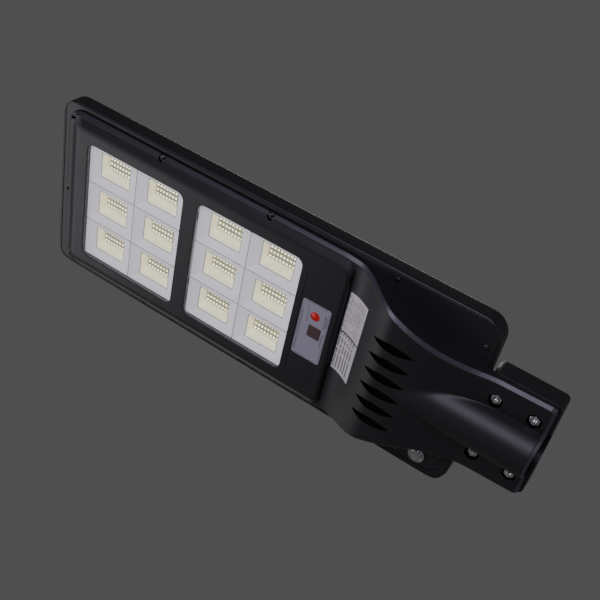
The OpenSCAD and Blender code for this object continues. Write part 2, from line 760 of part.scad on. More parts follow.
module clamp_washers() color(steel) lamp() for (p = bolts) difference() {
    rod(p, bolt_d * 2, clamp_z1, clamp_z1 + washer_t);
    rod(p, bolt_d + fit, clamp_z1 - 1, clamp_z1 + washer_t + 1);
}

module clamp_nuts() color(steel) lamp() for (p = bolts) difference() {
    translate([p[0], p[1], nut_seat_z - nut_h]) cylinder(d = nut_af / cos(30), h = nut_h, $fn = 6);
    rod(p, bolt_d, nut_seat_z - nut_h - 1, nut_seat_z + 1);
}

// A layer of the solar panel
module panel_slab(inset, z0, z1)
    slab(panel_x[0] + inset, panel_x[1] - inset, panel_hw - inset, panel_r - inset, z0, z1);

module panel_adhesive() color([0.2, 0.2, 0.2]) lamp() difference() {
    panel_slab(0.8, seat_z, seat_z + adhesive_t);
    panel_slab(seat_w - 1.5, seat_z - 1, seat_z + 1);
}

module panel_board() color([0.85, 0.85, 0.82]) lamp()
    panel_slab(0.2, seat_z + adhesive_t, seat_z + adhesive_t + panel_board_t - 0.4);

module solar_cells() color([0.04, 0.06, 0.2]) lamp() {
    z = seat_z + panel_board_t;
    for (i = [0:solar_grid[0] - 1], j = [0:solar_grid[1] - 1])
        block([panel_x[0] + panel_border[0] + (i + 0.5) * solar_pitch[0],
            (j + 0.5) * solar_pitch[1] - solar_space[1] / 2],
            solar_pitch - [solar_gap, solar_gap], z, z + cells_t);
}

module panel_glass() color(clear) lamp()
    panel_slab(0.2, seat_z + panel_board_t + cells_t, tray_z1 - glass_drop);

// The push button, which is pressed towards the panel
module button_rod(d, z0, z1) rod([button_x, button_y], d, z0, z1);

module button_body() color(steel) lamp() difference() {
    union() {
        button_rod(bezel_d, bezel_z, floor_z);
        button_rod(button_d, floor_z - eps, button_base_z);
    }
    button_rod(cap_d + 0.6, bezel_z - 1, button_base_z);
    button_rod(cap_flange_d + 0.6, bezel_z + lip_t, button_base_z + 1);
}

module button_base() color([0.1, 0.1, 0.1]) lamp() {
    button_rod(button_d, button_base_z, button_base_z + 1.4);
    button_rod(3.4, cap_flange_z + cap_flange_t + button_travel + 1, button_base_z + eps);
    for (s = [-1, 1]) block([button_x + s * 4, button_y], [0.8, 3], button_base_z + 1, button_base_z + 3.6);
}

module button_cap() color([0.85, 0.85, 0.87]) lamp() {
    button_rod(cap_d, bezel_z - cap_proud, cap_flange_z + eps);
    button_rod(cap_flange_d, cap_flange_z, cap_flange_z + cap_flange_t);
}

// A coil spring between the cap's flange and the base, swept as an eight-sided tube
module button_spring() color(steel) lamp() translate([button_x, button_y, 0]) {
    wire = 0.3;
    turns = 4;
    sides = 8;
    per_turn = 16;
    z0 = cap_flange_z + cap_flange_t + wire;
    rise = button_base_z - wire - z0;
    n = turns * per_turn;
    rings = [for (i = [0:n], k = [0:sides - 1])
        let (a = 360 * i / per_turn, b = 360 * k / sides, r = coil_r + wire * cos(b))
        [r * cos(a), r * sin(a), z0 + rise * i / n + wire * sin(b)]];
    walls = [for (i = [0:n - 1], k = [0:sides - 1])
        let (k2 = (k + 1) % sides)
        [i * sides + k, i * sides + k2, (i + 1) * sides + k2, (i + 1) * sides + k]];
    ends = [[for (k = [sides - 1:-1:0]) k], [for (k = [0:sides - 1]) n * sides + k]];
    polyhedron(rings, concat(walls, ends));
}

module button_seal() color(dark_seal) lamp() difference() {
    button_rod(button_nut_af + 0.6, shell_h, shell_h + button_seal_t);
    button_rod(button_d + 0.05, shell_h - 1, shell_h + button_seal_t + 1);
}

module button_nut() color(steel) lamp() difference() {
    translate([button_x, button_y, shell_h + button_seal_t])
        cylinder(d = button_nut_af / cos(30), h = button_nut_h, $fn = 6);
    button_rod(button_d + 0.05, shell_h, shell_h + button_seal_t + button_nut_h + 1);
}

face_shell();
panel_tray();
case_seal();
case_screws();
tip_window();
arm_window();
tip_window_seal();
arm_window_seal();
tip_reflector();
arm_reflector();
tip_light_board();
arm_light_board();
tip_leds();
arm_leds();
heat_plate();
heat_plate_screws();
sensor_plate();
motion_lens();
light_window();
sensor_board();
motion_sensor();
light_sensor();
sensor_screws();
controller_board();
controller_chips();
controller_capacitors();
controller_terminals();
controller_screws();
battery_cradle();
battery_cells();
battery_links();
battery_straps();
battery_screws();
rating_label();
charge_label();
pole_clamp();
clamp_bolts();
clamp_washers();
clamp_nuts();
panel_board();
solar_cells();
panel_glass();
panel_adhesive();
button_body();
button_base();
button_cap();
button_spring();
button_nut();
button_seal();
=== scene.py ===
import json
import math
import bmesh
import bpy
from mathutils import Matrix, Vector


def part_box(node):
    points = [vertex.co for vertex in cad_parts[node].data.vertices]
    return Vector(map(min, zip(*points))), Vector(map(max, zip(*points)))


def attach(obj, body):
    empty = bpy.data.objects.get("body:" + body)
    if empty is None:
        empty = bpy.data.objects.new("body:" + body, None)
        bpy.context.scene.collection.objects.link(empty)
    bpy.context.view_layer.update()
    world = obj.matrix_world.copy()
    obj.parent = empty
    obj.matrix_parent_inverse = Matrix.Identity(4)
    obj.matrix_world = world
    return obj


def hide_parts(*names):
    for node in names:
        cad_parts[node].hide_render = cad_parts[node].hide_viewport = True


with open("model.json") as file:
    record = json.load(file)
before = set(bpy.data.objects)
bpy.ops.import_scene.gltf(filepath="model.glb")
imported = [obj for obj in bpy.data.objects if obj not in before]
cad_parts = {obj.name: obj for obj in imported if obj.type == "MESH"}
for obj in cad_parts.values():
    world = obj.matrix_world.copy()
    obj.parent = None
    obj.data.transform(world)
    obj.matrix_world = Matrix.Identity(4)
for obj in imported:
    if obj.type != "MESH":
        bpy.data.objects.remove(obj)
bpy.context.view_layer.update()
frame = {"nodes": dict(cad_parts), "record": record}
print("frame loaded:", len(frame["nodes"]), "nodes")

cameraSet = {
    "place": (0.0411, -0.6175, -0.6975),
    "along": (-0.3299, 0.6124, 0.7184),
    "up": (-0.4628, -0.7682, 0.4424),
    "lens": 56.36,
    "sensor": 36,
}


def aimed(along, up):        # a turn with -Z along one line and +Y towards another
    back = -Vector(along).normalized()
    right = Vector(up).cross(back).normalized()
    return Matrix((right, back.cross(right), back)).transposed().to_4x4()


def addCamera(place, along, up, lens, sensor):
    data = bpy.data.cameras.new("camera")
    data.lens = lens
    data.sensor_width = sensor
    data.clip_start = 0.01
    camera = bpy.data.objects.new("camera", data)
    camera.matrix_world = Matrix.Translation(place) @ aimed(along, up)
    bpy.context.scene.collection.objects.link(camera)
    bpy.context.scene.camera = camera


addCamera(**cameraSet)

lightSet = {
    "aim": (-0.3, 0, 0),
    "lamps": [
        {"name": "keyLight", "place": (-0.27, -1.2, -1.1), "size": 0.9, "power": 12, "tone": (0.82, 0.78, 1)},
        {"name": "sideLight", "place": (1.3, -0.5, -0.2), "size": 0.9, "power": 3, "tone": (0.9, 0.9, 1)},
        {"name": "faceLight", "place": (-1.5, 0.56, -0.9), "size": 1.1, "power": 6, "tone": (0.98, 0.96, 1)},
        {"name": "warmLight", "place": (-0.9, 1.2, 0.5), "size": 0.9, "power": 1.5, "tone": (1, 0.9, 0.82)},
        {"name": "topLight", "place": (-0.9, 0.3, 1.9), "size": 1.2, "power": 13, "tone": (1, 1, 1)},
    ],
    "world": (0.085, 0.085, 0.088),
}


def addLights(aim, lamps, world):
    for lamp in lamps:
        data = bpy.data.lights.new(lamp["name"], "AREA")
        data.size = lamp["size"]
        data.energy = lamp["power"]
        data.color = lamp["tone"]
        light = bpy.data.objects.new(lamp["name"], data)
        place = Vector(lamp["place"])
        light.matrix_world = Matrix.Translation(place) @ aimed(Vector(aim) - place, (0.02, 0.01, 1))
        bpy.context.scene.collection.objects.link(light)
    sky = bpy.data.worlds.new("sky")
    sky.use_nodes = True
    sky.node_tree.nodes["Background"].inputs["Color"].default_value = (*world, 1)
    bpy.context.scene.world = sky


addLights(**lightSet)
print("camera and lights ready")


def nodeBox(name):        # lowest and highest corner of a node, in millimetres
    low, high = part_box(name)
    return low * 1000, high * 1000


class Value:        # a shader socket that Python sums can use
    def __init__(self, paint, socket):
        self.paint = paint
        self.socket = socket

    def sum(self, operation, first, second):
        return self.paint.node("ShaderNodeMath", {"operation": operation}, {0: first, 1: second})

    def __add__(self, other):
        return self.sum("ADD", self, other)

    def __radd__(self, other):
        return self.sum("ADD", other, self)

    def __sub__(self, other):
        return self.sum("SUBTRACT", self, other)

    def __rsub__(self, other):
        return self.sum("SUBTRACT", other, self)

    def __mul__(self, other):
        return self.sum("MULTIPLY", self, other)

    def __rmul__(self, other):
        return self.sum("MULTIPLY", other, self)

    def __truediv__(self, other):
        return self.sum("DIVIDE", self, other)

    def __gt__(self, other):
        return self.sum("GREATER_THAN", self, other)

    def __lt__(self, other):
        return self.sum("LESS_THAN", self, other)


class Paint:        # one material with its nodes
    def __init__(self, name):
        self.material = bpy.data.materials.new(name)
        self.material.use_nodes = True
        self.tree = self.material.node_tree
        self.shader = self.tree.nodes["Principled BSDF"]

    def feed(self, socket, value):
        if isinstance(value, Value):
            self.tree.links.new(value.socket, socket)
        elif socket.type == "RGBA":
            socket.default_value = (*value, 1)
        else:
            socket.default_value = value

    def node(self, kind, settings=None, inputs=None, output=0):
        made = self.tree.nodes.new(kind)
        for key, value in (settings or {}).items():
            setattr(made, key, value)
        for key, value in (inputs or {}).items():
            self.feed(made.inputs[key], value)
        return Value(self, made.outputs[output])

    def place(self):
        return self.node("ShaderNodeTexCoord", output="Object")

    def axes(self):        # X, Y and Z in millimetres
        scaled = self.node("ShaderNodeVectorMath", {"operation": "SCALE"}, {0: self.place(), "Scale": 1000})
        made = self.tree.nodes.new("ShaderNodeSeparateXYZ")
        self.feed(made.inputs[0], scaled)
        return [Value(self, socket) for socket in made.outputs]

    def noise(self, scale, detail=3, stretch=None):
        place = self.place()
        if stretch:
            place = self.node("ShaderNodeMapping", None, {"Vector": place, "Scale": stretch})
        return self.node("ShaderNodeTexNoise", None, {"Vector": place, "Scale": scale, "Detail": detail})

    def tint(self, factor, first, second):
        return self.node("ShaderNodeMix", {"data_type": "RGBA"}, {0: factor, 6: first, 7: second}, 2)

    def bump(self, height, strength, depth):
        return self.node("ShaderNodeBump", None, {"Strength": strength, "Distance": depth, "Height": height})

    def finish(self, **sockets):
        for name, value in sockets.items():
            self.feed(self.shader.inputs[name.replace("_", " ")], value)
        return self.material


def plastic(name, tone, rough, grain=0.25, fleck=0.12):        # moulded plastic with a fine etched grain
    paint = Paint(name)
    cloud = paint.noise(9, 4)
    etch = paint.noise(1500, 2)
    light = tuple(min(1, c * (1 + fleck) + fleck * 0.004) for c in tone)
    dark = tuple(c * (1 - fleck) for c in tone)
    return paint.finish(
        Base_Color=paint.tint(cloud, dark, light),
        Roughness=rough - 0.05 + 0.1 * paint.noise(40, 3) + 0.06 * etch,
        Normal=paint.bump(etch, grain, 0.00006),
    )


def metal(name, tone, rough, stretch=(1, 1, 12)):        # drawn metal with fine marks along one way
    paint = Paint(name)
    marks = paint.noise(420, 3, stretch)
    return paint.finish(
        Base_Color=paint.tint(paint.noise(60, 2), tuple(c * 0.85 for c in tone), tone),
        Metallic=1.0,
        Roughness=rough + 0.14 * marks,
        Normal=paint.bump(marks, 0.15, 0.00004),
    )


def clear(name, tone, cover, rough):        # clear plastic or glass, with faint haze
    paint = Paint(name)
    haze = paint.noise(25, 3)
    return paint.finish(Base_Color=tone, Roughness=rough + 0.04 * haze, Alpha=cover + 0.03 * haze)


def board(name, tone, track, pitch):        # circuit board with tracks under its mask
    paint = Paint(name)
    y = paint.axes()[1]
    row = paint.node("ShaderNodeMath", {"operation": "PINGPONG"}, {0: y, 1: pitch})
    line = (row < 0.5) * (paint.noise(90, 1) > 0.45)
    return paint.finish(
        Base_Color=paint.tint(line, tone, track),
        Roughness=0.42 + 0.1 * paint.noise(80, 2),
        Normal=paint.bump(line, 0.3, 0.00003),
    )


def printed(name, tone, ink, bars):        # film with plain printed rules, and no lettering
    paint = Paint(name)
    x, y = paint.axes()[:2]
    row = paint.node("ShaderNodeMath", {"operation": "FRACT"}, {0: (x - bars["start"]) / bars["pitch"]})
    gap = paint.noise(bars["gap"], 0, (0.16, 1, 0.16))
    rules = (row < bars["share"]) * (gap > 0.44)
    rules = rules * (x > bars["start"]) * (x < bars["end"]) * (y > bars["low"]) * (y < bars["high"])
    film = paint.tint(paint.noise(30, 3), tuple(c * 0.93 for c in tone), tone)
    return paint.finish(
        Base_Color=paint.tint(rules, film, ink),
        Roughness=0.38 + 0.12 * paint.noise(55, 2),
    )


def paintedGlow(name, tone, paintedLightTone, power):        # white plastic with a painted glow: its emission stands in for the light of the chips it surrounds
    material = plastic(name, tone, 0.4, 0.1, 0.03)
    shader = material.node_tree.nodes["Principled BSDF"]
    shader.inputs["Emission Color"].default_value = (*paintedLightTone, 1)
    shader.inputs["Emission Strength"].default_value = power
    return material


def glowing(name, tone, power):        # phosphor of a lit chip, brighter at its middle
    paint = Paint(name)
    glow = paint.tint(paint.noise(700, 1), tuple(c * 0.9 for c in tone), tone)
    body = (0.9, 0.85, 0.5)
    return paint.finish(Base_Color=body, Roughness=0.5, Emission_Color=glow, Emission_Strength=power)


def cellPaint(name):        # dark blue wafer with bus bars and fine fingers
    paint = Paint(name)
    x, y = paint.axes()[:2]
    finger = paint.node("ShaderNodeMath", {"operation": "PINGPONG"}, {0: x, 1: 1.1})
    bar = paint.node("ShaderNodeMath", {"operation": "PINGPONG"}, {0: y + 6, 1: 12.2})
    line = (bar < 0.5) + 0.14 * (finger < 0.12)
    blue = paint.tint(paint.noise(14, 4), (0.006, 0.011, 0.045), (0.012, 0.024, 0.085))
    return paint.finish(
        Base_Color=paint.tint(line, blue, (0.55, 0.57, 0.6)),
        Metallic=0.4 * (bar < 0.7),
        Roughness=0.28 + 0.1 * paint.noise(70, 2),
    )


charcoal = (0.0125, 0.0125, 0.0145)
ruleArea = {
    "start": nodeBox("rating_label")[0].x + 0.5,
    "end": nodeBox("rating_label")[1].x - 4,
    "low": nodeBox("rating_label")[0].y + 4,
    "high": nodeBox("charge_label")[1].y - 3,
}
labelBars = {**ruleArea, "pitch": 2.7, "share": 0.34, "gap": 420}
secondBars = {**ruleArea, "pitch": 3.9, "share": 0.46, "gap": 250}
paints = {
    "shell_plastic": plastic("shellPlastic", charcoal, 0.4),
    # lighter, glossier paint for the edge chamfers: a painted highlight band
    "shell_edge_painted_highlight": plastic("shellEdgePaintedHighlight", (0.045, 0.043, 0.054), 0.3),
    # near-black paint for pockets and louvre slots: painted shade in the hollows
    "recess": plastic("recessPlastic", (0.002, 0.002, 0.0025), 0.85, 0.1),
    "seal_rubber": plastic("sealRubber", (0.008, 0.008, 0.008), 0.8, 0.4),
    "screw_steel": metal("screwSteel", (0.12, 0.12, 0.13), 0.28),
    "clear_cover": clear("clearCover", (0.95, 0.97, 1), 0.05, 0.05),
    # the reflector's outer walls glow evenly with painted light
    "reflector_plastic": paintedGlow("reflectorWhitePaintedGlow", (0.86, 0.85, 0.88), (0.96, 0.94, 1), 0.3),
    # the inner walls near the chips: warm tint and warm glow of painted LED light
    "reflector_painted_warm_light": paintedGlow("reflectorPaintedWarmLight", (0.88, 0.86, 0.72), (1, 0.94, 0.62), 0.5),
    # grey for the ridge tops and step ledges: a painted shade line
    "reflector_painted_step_shade": plastic("reflectorPaintedStepShade", (0.32, 0.31, 0.32), 0.5, 0.1, 0.03),
    "light_board": board("lightBoard", (0.6, 0.59, 0.4), (0.45, 0.44, 0.28), 2.95),
    "chip_body": plastic("chipBody", (0.6, 0.59, 0.4), 0.5, 0.1, 0.04),
    "light_chip": glowing("chipGlow", (1, 0.97, 0.7), 2.4),
    "heat_aluminium": metal("heatAluminium", (0.75, 0.76, 0.78), 0.35, (1, 14, 1)),
    "sensor_plate_plastic": plastic("sensorPlate", (0.36, 0.345, 0.41), 0.4, 0.12, 0.05),
    "red_lens": plastic("redLens", (0.72, 0.025, 0.02), 0.16, 0.05, 0.05),
    "smoked_window": plastic("smokedWindow", (0.1, 0.062, 0.062), 0.14, 0.05, 0.25),
    "green_board": board("greenBoard", (0.012, 0.09, 0.035), (0.03, 0.19, 0.07), 1.6),
    "sensor_can": metal("sensorCan", (0.7, 0.71, 0.73), 0.25),
    "black_component": plastic("chipCase", (0.012, 0.012, 0.012), 0.5),
    "capacitor_sleeve": plastic("capacitorSleeve", (0.02, 0.03, 0.12), 0.35),
    "terminal_plastic": plastic("terminalGreen", (0.02, 0.16, 0.05), 0.45),
    "cradle_plastic": plastic("cradlePlastic", (0.03, 0.03, 0.035), 0.5),
    "cell_sleeve": plastic("cellSleeve", (0.02, 0.1, 0.32), 0.32),
    "nickel": metal("nickel", (0.7, 0.69, 0.66), 0.3, (1, 12, 1)),
    "strap_steel": metal("strapSteel", (0.6, 0.61, 0.63), 0.3, (12, 1, 1)),
    "label_film": printed("labelFilm", (0.78, 0.74, 0.72), (0.3, 0.28, 0.28), labelBars),
    "second_film": printed("secondFilm", (0.74, 0.71, 0.7), (0.26, 0.24, 0.25), secondBars),
    "bolt_steel": metal("boltSteel", (0.78, 0.78, 0.8), 0.2),
    "panel_backing": plastic("panelBacking", (0.7, 0.7, 0.68), 0.5, 0.1, 0.04),
    "solar_cell": cellPaint("solarCell"),
    "panel_glass": clear("panelGlass", (0.8, 0.9, 0.95), 0.1, 0.06),
    "panel_adhesive": plastic("panelAdhesive", (0.04, 0.04, 0.04), 0.7, 0.4),
    "button_metal": metal("buttonMetal", (0.82, 0.82, 0.84), 0.08),
    "spring_steel": metal("springSteel", (0.6, 0.6, 0.62), 0.25),
    "ink_dark": plastic("inkDark", (0.03, 0.03, 0.035), 0.5, 0.05),
    "ink_red": plastic("inkRed", (0.4, 0.03, 0.03), 0.5, 0.05),
    "ink_green": plastic("inkGreen", (0.03, 0.2, 0.08), 0.5, 0.05),
}
# the hollows' paint gives little reflection, as part of the painted shade
paints["recess"].node_tree.nodes["Principled BSDF"].inputs["Specular IOR Level"].default_value = 0.1
slotOfNode = {part["node"]: part.get("material_slot") for part in frame["record"]["subparts"]}
for name, node in frame["nodes"].items():
    node.data.materials.clear()
    node.data.materials.append(paints[slotOfNode[name]])
print("materials ready:", len(paints))


def solidBoxes(name):        # the same for each separate solid of a node, in order along the lamp
    bm = bmesh.new()
    bm.from_mesh(frame["nodes"][name].data)
    bmesh.ops.remove_doubles(bm, verts=bm.verts, dist=1e-6)
    waiting = set(bm.verts)
    boxes = []
    while waiting:
        group = [waiting.pop()]
        for vert in group:
            near = [edge.other_vert(vert) for edge in vert.link_edges]
            fresh = [other for other in near if other in waiting]
            waiting.difference_update(fresh)
            group.extend(fresh)
        sides = list(zip(*(vert.co * 1000 for vert in group)))
        boxes.append((Vector(map(min, sides)), Vector(map(max, sides))))
    bm.free()
    return sorted(boxes, key=lambda box: (round(box[0].x, 1), round(box[0].y, 1)))


def halfWide(node):
    low, high = nodeBox(node)
    return (high.x - low.x) / 2


def middle(box):
    return (box[0] + box[1]) / 2


def flat(x0, x1, y0, y1, z, radius=0, arc=8):        # a rectangle with round corners
    bm = bmesh.new()
    bmesh.ops.create_grid(bm, x_segments=1, y_segments=1, size=0.5)
    bmesh.ops.scale(bm, vec=(x1 - x0, y1 - y0, 1), verts=bm.verts)
    bmesh.ops.translate(bm, vec=((x0 + x1) / 2, (y0 + y1) / 2, z), verts=bm.verts)
    if radius:
        roundOff(bm, bm.verts[:], radius, arc, "VERTICES")
    return bm


def roundOff(bm, geom, size, steps=3, affect="EDGES"):
    bmesh.ops.bevel(bm, geom=geom, offset=size, segments=steps, profile=0.5, affect=affect, material=-1)


def lift(bm, faces, shift, onSolid=False):        # extrudes faces and gives back the moved points
    made = bmesh.ops.extrude_face_region(bm, geom=faces)["geom"]
    raised = [item for item in made if isinstance(item, bmesh.types.BMVert)]
    bmesh.ops.translate(bm, vec=shift, verts=raised)
    if onSolid:
        bmesh.ops.delete(bm, geom=faces, context="FACES")
    return raised


def levelEdges(bm, z):
    return [edge for edge in bm.edges if all(abs(vert.co.z - z) < 1e-3 for vert in edge.verts)]


def slab(x0, x1, y0, y1, z0, z1, radius=0, lowEdge=0, highEdge=0, arc=8):
    bm = flat(x0, x1, y0, y1, z0, radius, arc)
    lift(bm, bm.faces[:], (0, 0, z1 - z0))
    bmesh.ops.recalc_face_normals(bm, faces=bm.faces)
    for z, size in ((z0, lowEdge), (z1, highEdge)):
        if size:
            roundOff(bm, levelEdges(bm, z), size)
    return bm


def grown(box, by, z0, z1, radius=0, lowEdge=0, highEdge=0):        # slab over a box's plan
    low, high = box
    return slab(low.x - by, high.x + by, low.y - by, high.y + by, z0, z1, radius, lowEdge, highEdge)


def lathe(profile, steps=40, closed=False):        # turns (radius, height) points round Z
    bm = bmesh.new()
    verts = [bm.verts.new((r, 0, z)) for r, z in profile]
    pairs = list(zip(verts, verts[1:]))
    if closed:
        pairs.append((verts[-1], verts[0]))
    edges = [bm.edges.new(pair) for pair in pairs]
    turn = {"cent": (0, 0, 0), "axis": (0, 0, 1), "angle": 2 * math.pi, "steps": steps, "use_merge": True}
    bmesh.ops.spin(bm, geom=verts + edges, **turn)
    bmesh.ops.remove_doubles(bm, verts=bm.verts, dist=1e-4)
    bmesh.ops.recalc_face_normals(bm, faces=bm.faces)
    return bm


def rod(at, radius, z0, z1, edge=0, steps=32):
    bm = bmesh.new()
    bmesh.ops.create_cone(
        bm, cap_ends=True, segments=steps, radius1=radius, radius2=radius, depth=z1 - z0,
        matrix=Matrix.Translation((at[0], at[1], (z0 + z1) / 2)),
    )
    if edge:
        roundOff(bm, levelEdges(bm, z0) + levelEdges(bm, z1), edge, 2)
    return bm


def along(bm, axis="Y", turn=90):        # turns a piece about the origin
    spin = Matrix.Rotation(math.radians(turn), 3, axis)
    bmesh.ops.rotate(bm, cent=(0, 0, 0), matrix=spin, verts=bm.verts)
    return bm


def moved(bm, shift):
    bmesh.ops.translate(bm, vec=shift, verts=bm.verts)
    return bm


def gather(parts):        # puts several pieces into one
    bm = bmesh.new()
    for part in parts:
        mesh = bpy.data.meshes.new("part")
        part.to_mesh(mesh)
        part.free()
        bm.from_mesh(mesh)
        bpy.data.meshes.remove(mesh)
    return bm


def copies(template, places):        # the same piece at several places
    mesh = bpy.data.meshes.new("template")
    template.to_mesh(mesh)
    template.free()
    bm = bmesh.new()
    for place in places:
        start = len(bm.verts)
        bm.from_mesh(mesh)
        bm.verts.ensure_lookup_table()
        bmesh.ops.translate(bm, vec=place, verts=bm.verts[start:])
    bpy.data.meshes.remove(mesh)
    return bm


def painted(bm, index):
    for face in bm.faces:
        face.material_index = index
    return bm


def combine(base, tools, operation="DIFFERENCE"):        # cuts or joins closed pieces
    made = []
    for part in [base] + tools:
        mesh = bpy.data.meshes.new("work")
        part.to_mesh(mesh)
        part.free()
        for slot in range(3):
            mesh.materials.append(None)
        work = bpy.data.objects.new("work", mesh)
        bpy.context.scene.collection.objects.link(work)
        made.append(work)
    for tool in made[1:]:
        step = made[0].modifiers.new("step", "BOOLEAN")
        step.operation = operation
        step.solver = "EXACT"
        step.material_mode = "INDEX"
        step.object = tool
    graph = bpy.context.evaluated_depsgraph_get()
    result = made[0].evaluated_get(graph)
    bm = bmesh.new()
    bm.from_mesh(result.to_mesh())
    result.to_mesh_clear()
    for work in made:
        mesh = work.data
        bpy.data.objects.remove(work)
        bpy.data.meshes.remove(mesh)
    return bm


def piece(name, bm, slot, nodes, body="lamp", more=(), angle=32):        # makes the finished object
    bmesh.ops.remove_doubles(bm, verts=bm.verts, dist=2e-3)
    bmesh.ops.dissolve_degenerate(bm, edges=bm.edges, dist=1e-3)
    bmesh.ops.scale(bm, vec=(0.001, 0.001, 0.001), verts=bm.verts)
    mesh = bpy.data.meshes.new(name)
    bm.to_mesh(mesh)
    bm.free()
    for key in (slot, *more):
        mesh.materials.append(paints[key])
    mesh.shade_smooth()
    mesh.set_sharp_from_angle(angle=math.radians(angle))
    made = bpy.data.objects.new(name, mesh)
    bpy.context.scene.collection.objects.link(made)
    even = made.modifiers.new("even", "WEIGHTED_NORMAL")
    even.keep_sharp = True
    even.weight = 100
    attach(made, body)
    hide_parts(*nodes)
    print(name, "made:", len(mesh.polygons), "faces")
    return made


shellBox = nodeBox("face_shell")
trayBox = nodeBox("panel_tray")
sealBox = nodeBox("case_seal")
clampBox = nodeBox("pole_clamp")
faceZ = nodeBox("motion_lens")[0].z
coverFlange = 3
windows = [
    (low + Vector((coverFlange, coverFlange, 0)), high - Vector((coverFlange, coverFlange, 0)))
    for low, high in (nodeBox("tip_window"), nodeBox("arm_window"))
]

shellSet = {
    "wall": 3,
    "faceHeight": 5.5,
    "slope": 10,
    "land": 5,
    "landTip": 9,
    "faceRound": 4,
    "flangeRadius": 20,
    "edgeRound": 3.8,
    "edgeSoft": 0.9,
    "sensorLong": 53,
    "endDraft": 1.2,
    "hump": 22.5,
    "humpReach": 64,
    "humpTop": 10,
    "humpRun": 106,
    "waistStart": -16,
    "waistEnd": 155,
    "armDrop": 0.5,
    "armFall": 0.04,
    "armHalf": 60.5,
    "armRadius": 6,
    "neckWall": 5,
    "socketWall": 3,
    "boreRadius": 25,
    "boreLong": 70,
    "tubePast": (0.3, 0.8, 1.6),
    "blend": 3,
    "floorWall": 2.2,
    "floorShort": 8,
    "split": 4,
    "step": 3,
    "sideShare": 0.9,
    "cutPast": 9.5,
}
flangeZ = faceZ + shellSet["faceHeight"]
flangeHalf = shellBox[1].y
faceHalf = flangeHalf - shellSet["land"] - shellSet["slope"]
faceStart = shellBox[0].x + shellSet["landTip"] + shellSet["slope"]
faceEnd = windows[1][1].x + shellSet["sensorLong"]
neckStart = faceEnd + 2
crest = faceEnd + shellSet["humpReach"]
fall = crest + shellSet["humpTop"]
armEnd = shellBox[1].x
armStart = fall + shellSet["humpRun"]
shellTop = sealBox[0].z
socketStart = armEnd - shellSet["boreLong"]
tubeRadius = shellSet["boreRadius"] + shellSet["socketWall"]
floorEnd = trayBox[1].x - shellSet["floorShort"]
floorZ = shellTop - shellSet["floorWall"]


def ease(t):        # a smooth step from 0 to 1
    c = min(max(t, 0), 1)
    return c * c * (3 - 2 * c)


def neckZ(x):        # height of the neck's outer surface
    if x < crest:
        rise = shellSet["faceHeight"] + shellSet["hump"]
        return flangeZ - rise * ease((x - neckStart) / (crest - neckStart))
    fallen = (shellSet["hump"] + shellSet["armDrop"]) * ease((x - fall) / (armStart - fall))
    return faceZ - shellSet["hump"] + fallen + max(0, x - armStart) * shellSet["armFall"]


def neckHalf(x):        # half width of the flange, neck and arm
    start = faceEnd + shellSet["waistStart"]
    end = faceEnd + shellSet["waistEnd"]
    return flangeHalf - (flangeHalf - shellSet["armHalf"]) * ease((x - start) / (end - start))


def outerZ(x, y):        # the neck with the socket's tube growing out of it
    plate = neckZ(x)
    reach = abs(y)
    tube = -math.sqrt(tubeRadius ** 2 - reach ** 2) if reach < tubeRadius else (reach - tubeRadius) * 4
    if x < fall:
        return plate
    blend = 0.4 + shellSet["blend"] * ease((x - fall - 12) / 50)
    near = max(blend - abs(plate - tube), 0) / blend
    return max(min(plate, tube) - near * near * blend / 4, faceZ - shellSet["hump"])


def cutAcross(bm, places, axis, keep=None):        # adds edges on planes square to an axis
    for place in places:
        point = [0, 0, 0]
        normal = [0, 0, 0]
        point[axis] = place
        normal[axis] = 1
        faces = [face for face in bm.faces if keep is None or keep(face)]
        edges = {edge for face in faces for edge in face.edges}
        verts = {vert for face in faces for vert in face.verts}
        geom = faces + sorted(edges, key=lambda e: e.index) + sorted(verts, key=lambda v: v.index)
        bmesh.ops.bisect_plane(bm, geom=geom, dist=1e-4, plane_co=point, plane_no=normal)
        bm.verts.index_update()
        bm.edges.index_update()


